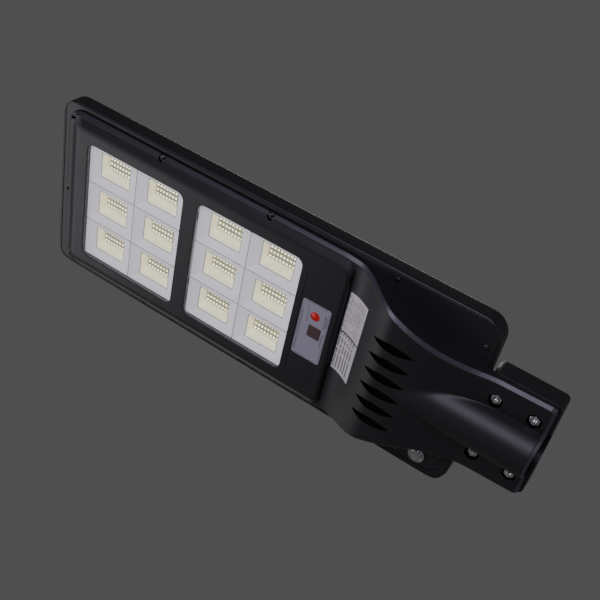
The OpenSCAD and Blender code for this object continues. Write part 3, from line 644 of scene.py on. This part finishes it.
def shellBlock(inset, sink, end, edge):        # flange, neck and arm in one solid, or the room inside it
    x0 = shellBox[0].x + inset
    z0 = flangeZ + inset
    bm = flat(x0, end, inset - flangeHalf, flangeHalf - inset, z0)
    first = faceEnd + shellSet["waistStart"]
    run = end - shellSet["armRadius"] - 1 - first
    count = int(run / shellSet["step"])
    cutAcross(bm, [first + run * i / count for i in range(count + 1)], 0)
    for vert in bm.verts:
        vert.co.y = math.copysign(neckHalf(vert.co.x) - inset, vert.co.y)
    for x, size in ((x0, shellSet["flangeRadius"] - inset), (end, shellSet["armRadius"])):
        roundOff(bm, [v for v in bm.verts if abs(v.co.x - x) < 1e-3], size, 8, "VERTICES")
    lift(bm, bm.faces[:], (0, 0, shellTop + sink - z0))
    bmesh.ops.recalc_face_normals(bm, faces=bm.faces)
    if edge:
        rim = [e for e in levelEdges(bm, z0) if any(abs(f.normal.z) < 0.5 for f in e.link_faces)]
        roundOff(bm, rim, edge, 1)
        bm.normal_update()
        for face in bm.faces:
            # the edge chamfer faces take the third paint, a painted highlight band
            if 0.5 < abs(face.normal.z) < 0.9 and face.calc_center_median().z < z0 + edge:
                face.material_index = 2
        rim = [e for e in levelEdges(bm, z0) if any(abs(f.normal.z) < 0.9 for f in e.link_faces)]
        roundOff(bm, rim + levelEdges(bm, z0 + edge), shellSet["edgeSoft"], 3)
        angles = list(range(0, 60, 5)) + [60 + 2.5 * i for i in range(13)]
        rows = [tubeRadius * math.sin(math.radians(a)) for a in angles]
        rows += [tubeRadius + past for past in shellSet["tubePast"]]
        rows = sorted({round(s * row, 4) for row in rows for s in (-1, 1)})
        cutAcross(bm, rows, 1, lambda face: face.calc_center_median().x > fall - 4)
    for vert in bm.verts:
        if vert.co.z < shellTop - 1:
            x, y = vert.co.x, vert.co.y
            if edge:
                vert.co.z += outerZ(x, y) - flangeZ
            else:
                extra = (shellSet["neckWall"] - inset) * ease((x - neckStart) / 20)
                vert.co.z += neckZ(x) - flangeZ + extra
    return bm


def raisedFace(inset, edge):        # the plateau that holds the windows, with its slopes
    bury = 1
    side = inset * shellSet["sideShare"]
    out = shellSet["slope"] * (1 + bury / shellSet["faceHeight"]) - side
    x0 = faceStart - out
    x1 = faceEnd + shellSet["endDraft"] - inset
    half = faceHalf + out
    z0 = flangeZ + bury + inset
    z1 = faceZ + inset
    bm = flat(x0, x1, -half, half, z0, 10, 8)
    top = lift(bm, bm.faces[:], (0, 0, z1 - z0))
    fit = (faceHalf - side) / half
    for vert in top:
        share = (vert.co.x - x0) / (x1 - x0)
        vert.co.x = faceStart + side + share * (faceEnd - inset - faceStart - side)
        vert.co.y *= fit
    bmesh.ops.recalc_face_normals(bm, faces=bm.faces)
    if edge:
        roundOff(bm, levelEdges(bm, z1), edge, 4)
    return bm


def flared(box, z, depth, radius, flare):        # cutter with an eased mouth
    low, high = box
    bm = slab(low.x - flare, high.x + flare, low.y - flare, high.y + flare, z - 4, z, radius + flare)
    face = next(face for face in bm.faces if all(abs(vert.co.z - z) < 1e-4 for vert in face.verts))
    bmesh.ops.inset_region(bm, faces=[face], thickness=flare * 0.3, depth=0, use_even_offset=True)
    bmesh.ops.translate(bm, vec=(0, 0, flare * 0.7), verts=face.verts)
    bmesh.ops.inset_region(bm, faces=[face], thickness=flare * 0.7, depth=0, use_even_offset=True)
    bmesh.ops.translate(bm, vec=(0, 0, flare * 0.3), verts=face.verts)
    lift(bm, [face], (0, 0, depth - flare), True)
    bmesh.ops.recalc_face_normals(bm, faces=bm.faces)
    return bm


louvreSet = {
    "count": 6, "pitch": 19.6, "long": 47, "wide": 9.6, "past": 5.5,
    "above": 1, "lip": 0.5, "depth": 3.5, "flare": 1, "draft": 0.5,
}


def louvreCutters():        # lens-shaped recesses across the hump, which follow its surface
    half = louvreSet["long"] / 2
    rise = louvreSet["wide"] / 2
    radius = (half ** 2 + rise ** 2) / (2 * rise)
    sweep = 2 * math.asin(half / radius)
    cutters = []
    for number in range(louvreSet["count"]):
        bm = bmesh.new()
        start = bm.verts.new((-half, 0, 0))
        bmesh.ops.spin(bm, geom=[start], cent=(0, rise - radius, 0), axis=(0, 0, -1), angle=sweep, steps=16)
        bmesh.ops.mirror(bm, geom=bm.verts[:] + bm.edges[:], axis="Y", merge_dist=1e-3)
        bmesh.ops.remove_doubles(bm, verts=bm.verts, dist=1e-3)
        bmesh.ops.edgeloop_fill(bm, edges=bm.edges[:])
        y = (number - (louvreSet["count"] - 1) / 2) * louvreSet["pitch"]
        centre = Vector((crest + louvreSet["past"], y, 0))
        moved(bm, centre)
        cutAcross(bm, [centre.x + half * i / 8 for i in range(-7, 8)], 0)
        cutAcross(bm, [y], 1)
        for vert in bm.verts:
            vert.co.z = -60
        faces = bm.faces[:]
        reach = rise
        levels = [(-louvreSet["above"], louvreSet["flare"]), (louvreSet["lip"], 0)]
        levels.append((louvreSet["depth"], -louvreSet["draft"]))
        for depth, out in levels:
            ring = set(lift(bm, faces, (0, 0, 1), depth > 0))
            faces = [f for f in bm.faces if all(v in ring for v in f.verts)]
            for vert in ring:
                vert.co.y = y + (vert.co.y - y) * (rise + out) / reach
                vert.co.z = neckZ(vert.co.x) + depth
            reach = rise + out
        bmesh.ops.recalc_face_normals(bm, faces=bm.faces)
        # the slot walls take the second paint, near-black painted shade
        cutters.append(painted(bm, 1))
    return gather(cutters)


def hexagon(at, across, z0, z1):
    return rod(at, across / math.sqrt(3), z0, z1, 0, 6)


longScrew = 13        # the screws at the flange are longer than this, those at the tail shorter
headScrews = [box for box in solidBoxes("case_screws") if box[1].z - box[0].z > longScrew]
tailScrews = [box for box in solidBoxes("case_screws") if box[1].z - box[0].z <= longScrew]
boltBoxes = solidBoxes("clamp_bolts")
nutBoxes = solidBoxes("clamp_nuts")
traySet = {
    "wall": 3, "radius": 22, "lowEdge": 2.2, "highEdge": 2.5, "ledge": 7, "ledgeHigh": 2.5, "seat": 6,
    "seatHigh": 2, "fit": 0.3, "beadIn": 2.6, "beadWide": 1.3, "beadHigh": 0.6, "beadEdge": 0.4,
    "beadOuter": 13.4, "beadInner": 12.1, "ledgeRadius": 7, "roomRadius": 13, "panelRadius": 13.3,
}
postSet = {"heatRadius": 3.2, "sensorRadius": 2.5, "controllerRadius": 3}


def shellPosts():        # posts inside the shell for the plates and boards
    heat = nodeBox("heat_plate")[0].z
    sensor = nodeBox("sensor_board")[0].z
    controller = nodeBox("controller_board")[0].z
    low = faceZ + shellSet["wall"] - 1
    posts = [rod(middle(b), postSet["heatRadius"], low, heat) for b in solidBoxes("heat_plate_screws")]
    posts += [rod(middle(b), postSet["sensorRadius"], low, sensor) for b in solidBoxes("sensor_screws")]
    radius = postSet["controllerRadius"]
    posts += [rod(middle(b), radius, low, controller) for b in solidBoxes("controller_screws")]
    return gather(posts)


fieldSet = {"long": 37, "wide": 131, "shift": 3, "depth": 0.4, "back": 8.5, "plateDepth": 0.7}
openingSet = {
    "windowRadius": 9, "windowFlare": 0.7, "fieldRadius": 1, "fieldFlare": 0.2, "plateRadius": 3,
    "plateGap": 0.15, "lens": 5.65, "smoked": 7.65, "headPocket": 4, "tailPocket": 3.5,
    "screwHead": 1.8, "nutAcross": 14.4, "button": 6.15,
}


def squareHole(at, z0, z1):        # opening for the light sensor's pane
    half = openingSet["smoked"]
    return slab(at.x - half, at.x + half, at.y - half, at.y + half, z0, z1)


def faceShell():
    wall = shellSet["wall"]
    wide = shellSet["armHalf"] + shellSet["cutPast"]
    bm = combine(shellBlock(0, 0, armEnd, shellSet["edgeRound"]), [
        raisedFace(0, shellSet["faceRound"]),
        slab(faceEnd - 60, floorEnd, -flangeHalf, flangeHalf, floorZ, shellTop - 0.02,
             shellSet["flangeRadius"]),
    ], "UNION")
    bm = combine(bm, [
        shellBlock(wall, 2, socketStart - 6, 0),
        raisedFace(wall, 0),
        slab(socketStart, armEnd + 1, -wide, wide, shellSet["split"], shellTop + 5),
        slab(floorEnd, armEnd + 1, -wide, wide, trayBox[0].z - traySet["fit"], shellTop + 5),
    ])
    bm = combine(bm, [shellPosts()], "UNION")
    plate = nodeBox("sensor_plate")
    lens = nodeBox("motion_lens")
    smoked = nodeBox("light_window")
    right = faceEnd - fieldSet["back"]
    centre = middle(plate).y - fieldSet["shift"]
    half = fieldSet["wide"] / 2
    field = Vector((right - fieldSet["long"], centre - half, 0)), Vector((right, centre + half, 0))
    mouth = faceZ - 0.01
    past = faceZ + wall + 1
    radius, flare = openingSet["windowRadius"], openingSet["windowFlare"]
    cuts = [flared(window, mouth, wall + 2, radius, flare) for window in windows]
    cuts.append(flared(field, mouth, fieldSet["depth"], openingSet["fieldRadius"], openingSet["fieldFlare"]))
    sunk = faceZ + fieldSet["plateDepth"]
    cuts.append(grown(plate, openingSet["plateGap"], faceZ - 1, sunk, openingSet["plateRadius"]))
    cuts.append(rod(middle(lens), openingSet["lens"], faceZ - 1, past))
    cuts.append(squareHole(middle(smoked), faceZ - 1, past))
    head = openingSet["screwHead"]
    pockets = [rod(middle(b), openingSet["headPocket"], flangeZ - 3, b[0].z + head) for b in headScrews]
    pockets += [rod(middle(b), openingSet["tailPocket"], floorZ - 3, b[0].z + head) for b in tailScrews]
    pockets += [hexagon(middle(b), openingSet["nutAcross"], -30, b[1].z) for b in nutBoxes]
    # the pockets take the second paint, near-black painted shade
    cuts.append(painted(gather(pockets), 1))
    cuts.append(louvreCutters())
    bore = rod((0, 0), shellSet["boreRadius"], socketStart, armEnd + 2, 0, 72)
    cuts.append(along(bore))
    button = middle(nodeBox("button_cap"))
    cuts.append(rod(button, openingSet["button"], floorZ - 1, shellTop + 1))
    bm = combine(bm, cuts)
    return piece("faceShell", bm, "shell_plastic", ["face_shell"], more=("recess", "shell_edge_painted_highlight"))


faceShell()


def panelTray():
    wall = traySet["wall"]
    low, high = trayBox
    ledgeZ = sealBox[1].z
    seatZ = nodeBox("panel_adhesive")[0].z
    flange = (Vector((shellBox[0].x, -flangeHalf, 0)), Vector((floorEnd, flangeHalf, 0)))
    bm = grown(trayBox, 0, low.z, high.z, traySet["radius"], traySet["lowEdge"], traySet["highEdge"])
    inner = traySet["beadIn"] + traySet["beadWide"]
    bead = combine(
        grown(trayBox, -traySet["beadIn"], low.z - traySet["beadHigh"], low.z + 1, traySet["beadOuter"],
              traySet["beadEdge"]),
        [grown(trayBox, -inner, low.z - 2, low.z + 2, traySet["beadInner"])],
    )
    bm = combine(bm, [bead], "UNION")
    bm = combine(bm, [
        grown(flange, traySet["fit"], low.z - 1, ledgeZ, shellSet["flangeRadius"]),
        grown(flange, -traySet["ledge"], low.z - 2, high.z + 2, traySet["ledgeRadius"]),
        grown(trayBox, -wall, ledgeZ + traySet["ledgeHigh"], seatZ - traySet["seatHigh"],
              traySet["roomRadius"]),
        grown(trayBox, -wall - traySet["seat"], seatZ - 3, high.z + 1, traySet["ledgeRadius"]),
        grown(trayBox, traySet["fit"] - wall, seatZ, high.z + 1, traySet["panelRadius"]),
    ])
    return piece("panelTray", bm, "shell_plastic", ["panel_tray"])


panelTray()

clampSet = {
    "radius": 6, "lowEdge": 0.5, "highEdge": 2.2, "wall": 3, "roomRadius": 3, "top": 3.5, "column": 8,
    "saddle": 28.5, "saddleEdge": 1.2, "boltHole": 3.15,
}


def poleClamp():
    low, high = clampBox
    wall = clampSet["wall"]
    bm = grown(clampBox, 0, low.z, high.z - 0.001, clampSet["radius"], clampSet["lowEdge"],
               clampSet["highEdge"])
    bm = combine(bm, [grown(clampBox, -wall, low.z - 1, high.z - clampSet["top"], clampSet["roomRadius"])])
    saddle = along(rod((0, 0), clampSet["saddle"], low.x, high.x, clampSet["saddleEdge"], 72))
    block = slab(low.x - 1, high.x + 1, -40, 40, low.z, high.z + 30)
    columns = [rod(middle(b), clampSet["column"], low.z, high.z - 1) for b in boltBoxes]
    saddle = combine(saddle, [block], "INTERSECT")
    bm = combine(bm, [saddle, gather(columns)], "UNION")
    bore = along(rod((0, 0), shellSet["boreRadius"], low.x - 2, high.x + 2, 0, 72))
    holes = [rod(middle(b), clampSet["boltHole"], low.z - 5, high.z + 5) for b in boltBoxes]
    bm = combine(bm, [bore, gather(holes)])
    return piece("poleClamp", bm, "shell_plastic", ["pole_clamp"])


poleClamp()

crossSet = {"long": 0.62, "wide": 0.13, "deep": 0.45, "neck": 1.45}


def crossScrew(box, headHigh, neck):        # pan head below, point above
    low, high = box
    radius = (high.x - low.x) / 2
    length = high.z - low.z
    profile = [(0, 0), (radius * 0.55, 0.06), (radius * 0.84, 0.34), (radius, 0.95), (radius, headHigh)]
    profile += [(neck, headHigh), (neck, length - neck), (0, length)]
    reach = radius * crossSet["long"]
    wide = radius * crossSet["wide"]
    deep = headHigh * crossSet["deep"]
    return combine(lathe(profile, 28), [
        slab(-reach, reach, -wide, wide, -1, deep),
        slab(-wide, wide, -reach, reach, -1, deep),
    ])


def caseScrews():
    parts = []
    for group in (headScrews, tailScrews):
        screw = crossScrew(group[0], openingSet["screwHead"], crossSet["neck"])
        parts.append(copies(screw, [(middle(b).x, middle(b).y, b[0].z) for b in group]))
    return piece("caseScrews", gather(parts), "screw_steel", ["case_screws"])


caseScrews()

boltSet = {"radius": 3, "pitch": 1, "threadDeep": 0.32, "threadLong": 14, "headHigh": 3.96, "ease": 0.2}


def threaded(radius, z0, z1):        # points of a shank with thread ridges, from its end upwards
    points = [(0, z0), (radius - 0.7, z0), (radius - 0.1, z0 + 0.7)]
    z = z0 + 0.9
    while z < z0 + boltSet["threadLong"]:
        points += [(radius - boltSet["threadDeep"], z), (radius, z + boltSet["pitch"] / 2)]
        z += boltSet["pitch"]
    return points + [(radius - 0.05, z), (radius - 0.05, z1), (0, z1)]


def hexBlock(across, z0, z1):        # hexagon with its corners turned down at both ends
    radius = across / math.sqrt(3)
    half = across / 2
    drop = (radius - half) * 0.6
    barrel = [(0, z0), (half * 0.95, z0), (radius + 0.02, z0 + drop), (radius + 0.02, z1 - drop)]
    turned = lathe(barrel + [(half * 0.95, z1), (0, z1)], 48)
    return combine(hexagon((0, 0), across, z0, z1), [turned], "INTERSECT")


def clampFasteners():
    nut = nutBoxes[0]
    across = min(nut[1].y - nut[0].y, nut[1].x - nut[0].x)
    body = combine(hexBlock(across, 0, nut[1].z - nut[0].z), [rod((0, 0), boltSet["radius"] - 0.05, -1, 9)])
    nuts = copies(body, [(middle(b).x, middle(b).y, b[0].z) for b in nutBoxes])
    piece("clampNuts", nuts, "bolt_steel", ["clamp_nuts"])
    low, high = boltBoxes[0]
    head = boltSet["headHigh"]
    shank = lathe(threaded(boltSet["radius"] - 0.06, 0, high.z - low.z - head + 0.5), 32)
    bolt = gather([shank, hexBlock(across, high.z - low.z - head, high.z - low.z)])
    bolts = copies(bolt, [(middle(b).x, middle(b).y, b[0].z) for b in boltBoxes])
    piece("clampBolts", bolts, "bolt_steel", ["clamp_bolts"])
    washerBoxes = solidBoxes("clamp_washers")
    low, high = washerBoxes[0]
    thick = high.z - low.z
    outer = (high.x - low.x) / 2
    hole, soft = clampSet["boltHole"], boltSet["ease"]
    ring = [
        (hole, 0), (outer - soft, 0), (outer, soft),
        (outer, thick - soft), (outer - soft, thick), (hole, thick),
    ]
    washers = copies(lathe(ring, 36, True), [(middle(b).x, middle(b).y, b[0].z) for b in washerBoxes])
    piece("clampWashers", washers, "bolt_steel", ["clamp_washers"])


clampFasteners()

reflectorSet = {
    "columns": 2, "rows": 3, "ridge": 0.9, "step": 0.31, "stepSize": 0.625, "ledge": 0.9,
    "wall": 1, "edge": 0.1, "margin": 2,
}


def reflector(name, node, window, reach):        # six two-stage cells that narrow to the lights
    low, high = nodeBox(node)
    bm = bmesh.new()
    columns, rows = reflectorSet["columns"], reflectorSet["rows"]
    bmesh.ops.create_grid(bm, x_segments=columns, y_segments=rows, size=0.5)
    size = window[1] - window[0]
    bmesh.ops.scale(bm, vec=(size.x, size.y, 1), verts=bm.verts)
    moved(bm, (middle(window).x, middle(window).y, low.z))
    step = low.z + (high.z - low.z) * reflectorSet["step"]
    for face in bm.faces[:]:
        centre = face.calc_center_median()
        cell = Vector((size.x / columns, size.y / rows))
        ridge = reflectorSet["ridge"]
        ledge = reflectorSet["ledge"]
        mid = cell * reflectorSet["stepSize"]
        rings = [
            (cell.x - ridge, cell.y - ridge, low.z),
            (mid.x, mid.y, step),
            (mid.x - 2 * ledge, mid.y - 2 * ledge, step + ledge / 4),
            (*reach, high.z - 0.05),
        ]
        for width, height, z in rings:
            bmesh.ops.inset_individual(bm, faces=[face], thickness=0.2)
            for vert in face.verts:
                vert.co.x = centre.x + math.copysign(width / 2, vert.co.x - centre.x)
                vert.co.y = centre.y + math.copysign(height / 2, vert.co.y - centre.y)
                vert.co.z = z
        bmesh.ops.delete(bm, geom=[face], context="FACES_ONLY")
    bmesh.ops.recalc_face_normals(bm, faces=bm.faces)
    if sum(face.normal.z for face in bm.faces) > 0:
        bmesh.ops.reverse_faces(bm, faces=bm.faces)
    # the inner walls past the step ledge take the painted warm LED light (slot 1)
    for face in bm.faces:
        # ridge tops and step ledges take the grey painted shade line (slot 2)
        depths = [vert.co.z for vert in face.verts]
        if min(depths) > step + ledge / 8:
            face.material_index = 1
        elif max(depths) < low.z + 0.1 or min(depths) > step - 0.1:
            face.material_index = 2
    made = piece(name, bm, "reflector_plastic", [node], more=("reflector_painted_warm_light", "reflector_painted_step_shade"), angle=5)
    soft = made.modifiers.new("edge", "BEVEL")
    soft.width = reflectorSet["edge"] / 1000
    soft.segments = 2
    soft.limit_method = "ANGLE"
    soft.angle_limit = math.radians(15)
    soft.harden_normals = True
    skin = made.modifiers.new("skin", "SOLIDIFY")
    skin.thickness = reflectorSet["wall"] / 1000
    skin.offset = -1
    return made


chipSet = {"lit": 2.3, "sink": 0.08}


def chips(name, node):        # white chip bodies with a lit phosphor face towards the ground
    boxes = solidBoxes(node)
    low, high = boxes[0]
    size = high - low
    bm = slab(-size.x / 2, size.x / 2, -size.y / 2, size.y / 2, 0, size.z)
    face = min(bm.faces, key=lambda f: f.calc_center_median().z)
    bmesh.ops.inset_region(bm, faces=[face], thickness=0.2, depth=0, use_even_offset=True)
    for vert in face.verts:
        vert.co.x = math.copysign(chipSet["lit"] / 2, vert.co.x)
        vert.co.y = math.copysign(chipSet["lit"] / 2, vert.co.y)
        vert.co.z = chipSet["sink"]
    face.material_index = 1
    places = [(middle(b).x, middle(b).y, b[0].z) for b in boxes]
    made = piece(name, copies(bm, places), "light_chip", [node], more=("light_chip",))
    made.data.materials[0] = paints["chip_body"]
    return made


for side, window in zip(("tip", "arm"), windows):
    leds = solidBoxes(side + "_leds")
    size = window[1] - window[0]
    cell = size.x / reflectorSet["columns"], size.y / reflectorSet["rows"]
    near = [b for b in leds if all(middle(b)[k] < window[0][k] + cell[k] for k in (0, 1))]
    reach = [max(b[1][k] for b in near) - min(b[0][k] for b in near) + reflectorSet["margin"] for k in (0, 1)]
    reflector(side + "Reflector", side + "_reflector", window, reach)
    chips(side + "Lights", side + "_leds")

plateSet = {
    "radius": 3.2, "edge": 0.25, "inset": 1.1, "line": 0.35, "corner": 3, "proud": 0.03, "sunk": 0.1,
    "dashShare": 0.7,
    "bars": [
        {"slot": "ink_dark", "x": -14.4, "y": 4, "long": 54, "wide": 0.7, "dash": 2.1},
        {"slot": "ink_dark", "x": 12.6, "y": -20, "long": 18, "wide": 0.9, "dash": 1.7},
        {"slot": "ink_dark", "x": 14.6, "y": -20, "long": 13, "wide": 0.7, "dash": 1.5},
        {"slot": "ink_dark", "x": 13.4, "y": 4, "long": 16, "wide": 0.9, "dash": 1.9},
        {"slot": "ink_red", "x": -8.6, "y": -29, "long": 5, "wide": 0.9, "dash": 1.6},
        {"slot": "ink_green", "x": -8.2, "y": -21, "long": 5, "wide": 0.9, "dash": 1.6},
        {"slot": "ink_red", "x": -7.8, "y": -14, "long": 5, "wide": 0.9, "dash": 1.6},
    ],
}


def sensorPlate():        # grey plate with plain printed dashes
    low, high = nodeBox("sensor_plate")
    bm = grown((low, high), 0, low.z, high.z, plateSet["radius"], plateSet["edge"])
    lens = middle(nodeBox("motion_lens"))
    smoked = middle(nodeBox("light_window"))
    hole = rod(lens, openingSet["lens"], low.z - 1, high.z + 1)
    bm = combine(bm, [hole, squareHole(smoked, low.z - 1, high.z + 1)])
    centre = middle((low, high))
    z0, z1 = low.z - plateSet["proud"], low.z + plateSet["sunk"]
    inks = ["ink_dark", "ink_red", "ink_green"]
    dashes = []
    for bar in plateSet["bars"]:
        y = centre.y + bar["y"] - bar["long"] / 2
        while y < centre.y + bar["y"] + bar["long"] / 2:
            x = centre.x + bar["x"]
            half = bar["wide"] / 2
            dash = slab(x - half, x + half, y, y + bar["dash"] * plateSet["dashShare"], z0, z1)
            dashes.append(painted(dash, 1 + inks.index(bar["slot"])))
            y += bar["dash"]
    inset, line = plateSet["inset"], plateSet["line"]
    corner = plateSet["corner"]
    for y in (low.y + inset, high.y - inset - line):
        dashes.append(painted(slab(low.x + corner, high.x - corner, y, y + line, z0, z1), 1))
    for x in (low.x + inset, high.x - inset - line):
        dashes.append(painted(slab(x, x + line, low.y + corner, high.y - corner, z0, z1), 1))
    return piece("sensorPlate", gather([bm] + dashes), "sensor_plate_plastic", ["sensor_plate"], more=inks)


sensorPlate()


lensSet = {"radius": 5.5, "rings": 7, "edge": 0.55, "dome": 0.5, "flange": 1}


def motionLens():        # shallow dome with fine rings
    low, high = nodeBox("motion_lens")
    radius = lensSet["radius"]
    shares = [1 - i / lensSet["rings"] for i in range(lensSet["rings"])]
    rings = [(radius * t, low.z + lensSet["edge"] - lensSet["dome"] * (1 - t ** 2)) for t in shares]
    profile = [(0, low.z + 0.06)]
    for r, z in reversed(rings):
        profile += [(r - 0.12, z + 0.02), (r, z + 0.1)]
    flange = halfWide("motion_lens")
    seat = high.z - lensSet["flange"]
    profile += [(radius, seat), (flange, seat), (flange, high.z), (0, high.z)]
    bm = moved(lathe(profile, 40), (middle((low, high)).x, middle((low, high)).y, 0))
    return piece("motionLens", bm, "red_lens", ["motion_lens"], angle=50)


motionLens()


paneSet = {"half": 7.5, "sink": 0.1, "radius": 0.8, "edge": 0.5, "rim": 1}


def lightWindow():        # smoked pane with a bevelled edge over its flange
    low, high = nodeBox("light_window")
    at = middle((low, high))
    half = paneSet["half"]
    z0, z1 = low.z + paneSet["sink"], high.z - paneSet["rim"] / 2
    plan = at.x - half, at.x + half, at.y - half, at.y + half
    pane = slab(*plan, z0, z1, paneSet["radius"], paneSet["edge"])
    rim = grown((low, high), 0, high.z - paneSet["rim"], high.z, 1)
    return piece("lightWindow", combine(pane, [rim], "UNION"), "smoked_window", ["light_window"])


lightWindow()

labelSet = {"gap": 1.2, "rise": 0.32, "thick": 0.36}


def neckLabel(name, node):        # film that follows the neck
    low, high = nodeBox(node)
    bm = bmesh.new()
    bmesh.ops.create_grid(bm, x_segments=16, y_segments=4, size=0.5)
    bmesh.ops.scale(bm, vec=(high.x - low.x, high.y - low.y - labelSet["gap"], 1), verts=bm.verts)
    moved(bm, (middle((low, high)).x, middle((low, high)).y, 0))
    for vert in bm.verts:
        vert.co.z = neckZ(vert.co.x) - labelSet["rise"]
    lift(bm, bm.faces[:], (0, 0, labelSet["thick"]))
    bmesh.ops.recalc_face_normals(bm, faces=bm.faces)
    return piece(name, bm, "label_film", [node])


neckLabel("ratingLabel", "rating_label")
neckLabel("chargeLabel", "charge_label").data.materials[0] = paints["second_film"]

buttonSet = {"step": 0.6, "dish": 0.45, "gap": 0.3, "pitch": 1, "threadDeep": 0.3, "flangeHigh": 1.8}


def pushButton():        # chrome bezel on a threaded barrel, with a dished cap
    low, high = nodeBox("button_body")
    at = middle((low, high))
    outer = (high.x - low.x) / 2
    barrel = halfWide("button_base")
    flange = halfWide("button_cap")
    top = flange - buttonSet["step"]
    gap = buttonSet["gap"]
    hole = top + gap
    profile = [
        (hole, low.z + 0.8), (hole + 0.8, low.z + 0.75), (hole + 0.9, low.z + 0.1), (hole + 1.2, low.z),
        (outer - 0.7, low.z), (outer - 0.2, low.z + 0.2), (outer, low.z + 0.7), (outer, floorZ),
        (barrel, floorZ),
    ]
    core = barrel - buttonSet["threadDeep"]
    z = floorZ
    while z < high.z - 1:
        profile += [(barrel, z + 0.3), (core, z + 0.8)]
        z += buttonSet["pitch"]
    bore = flange + gap
    profile += [(core, high.z), (bore, high.z), (bore, low.z + 1), (hole, low.z + 1)]
    body = moved(lathe(profile, 48, True), (at.x, at.y, 0))
    piece("buttonBody", body, "button_metal", ["button_body"], angle=35)
    low, high = nodeBox("button_cap")
    lip = high.z - buttonSet["flangeHigh"]
    profile = [
        (0, low.z + buttonSet["dish"]), (top * 0.5, low.z + 0.33), (top * 0.8, low.z + 0.1),
        (top - 0.5, low.z), (top - 0.1, low.z + 0.08), (top, low.z + 0.35), (top, lip),
        (flange, lip), (flange, high.z), (0, high.z),
    ]
    cap = moved(lathe(profile, 48), (at.x, at.y, 0))
    piece("buttonCap", cap, "button_metal", ["button_cap"], body="button", angle=35)


pushButton()

cellSet = {"cut": 4, "sink": 0.06}


def solarCells():        # wafers with clipped corners
    boxes = solidBoxes("solar_cells")
    low, high = boxes[0]
    size = high - low
    bm = flat(-size.x / 2, size.x / 2, -size.y / 2, size.y / 2, 0, cellSet["cut"], 1)
    lift(bm, bm.faces[:], (0, 0, size.z - cellSet["sink"]))
    bmesh.ops.recalc_face_normals(bm, faces=bm.faces)
    cells = copies(bm, [(middle(b).x, middle(b).y, b[0].z) for b in boxes])
    return piece("solarCells", cells, "solar_cell", ["solar_cells"])


solarCells()


floorSet = {"drop": 2.4, "size": 5, "tone": (0.72, 0.71, 0.69), "rough": 0.6}


def floorPlane():
    bm = bmesh.new()
    bmesh.ops.create_grid(bm, x_segments=1, y_segments=1, size=floorSet["size"])
    moved(bm, (0, 0, -floorSet["drop"]))
    mesh = bpy.data.meshes.new("floor")
    bm.to_mesh(mesh)
    bm.free()
    mesh.materials.append(plastic("floorPaint", floorSet["tone"], floorSet["rough"], 0, 0.02))
    floor = bpy.data.objects.new("floor", mesh)
    bpy.context.scene.collection.objects.link(floor)


floorPlane()
print("pieces ready")
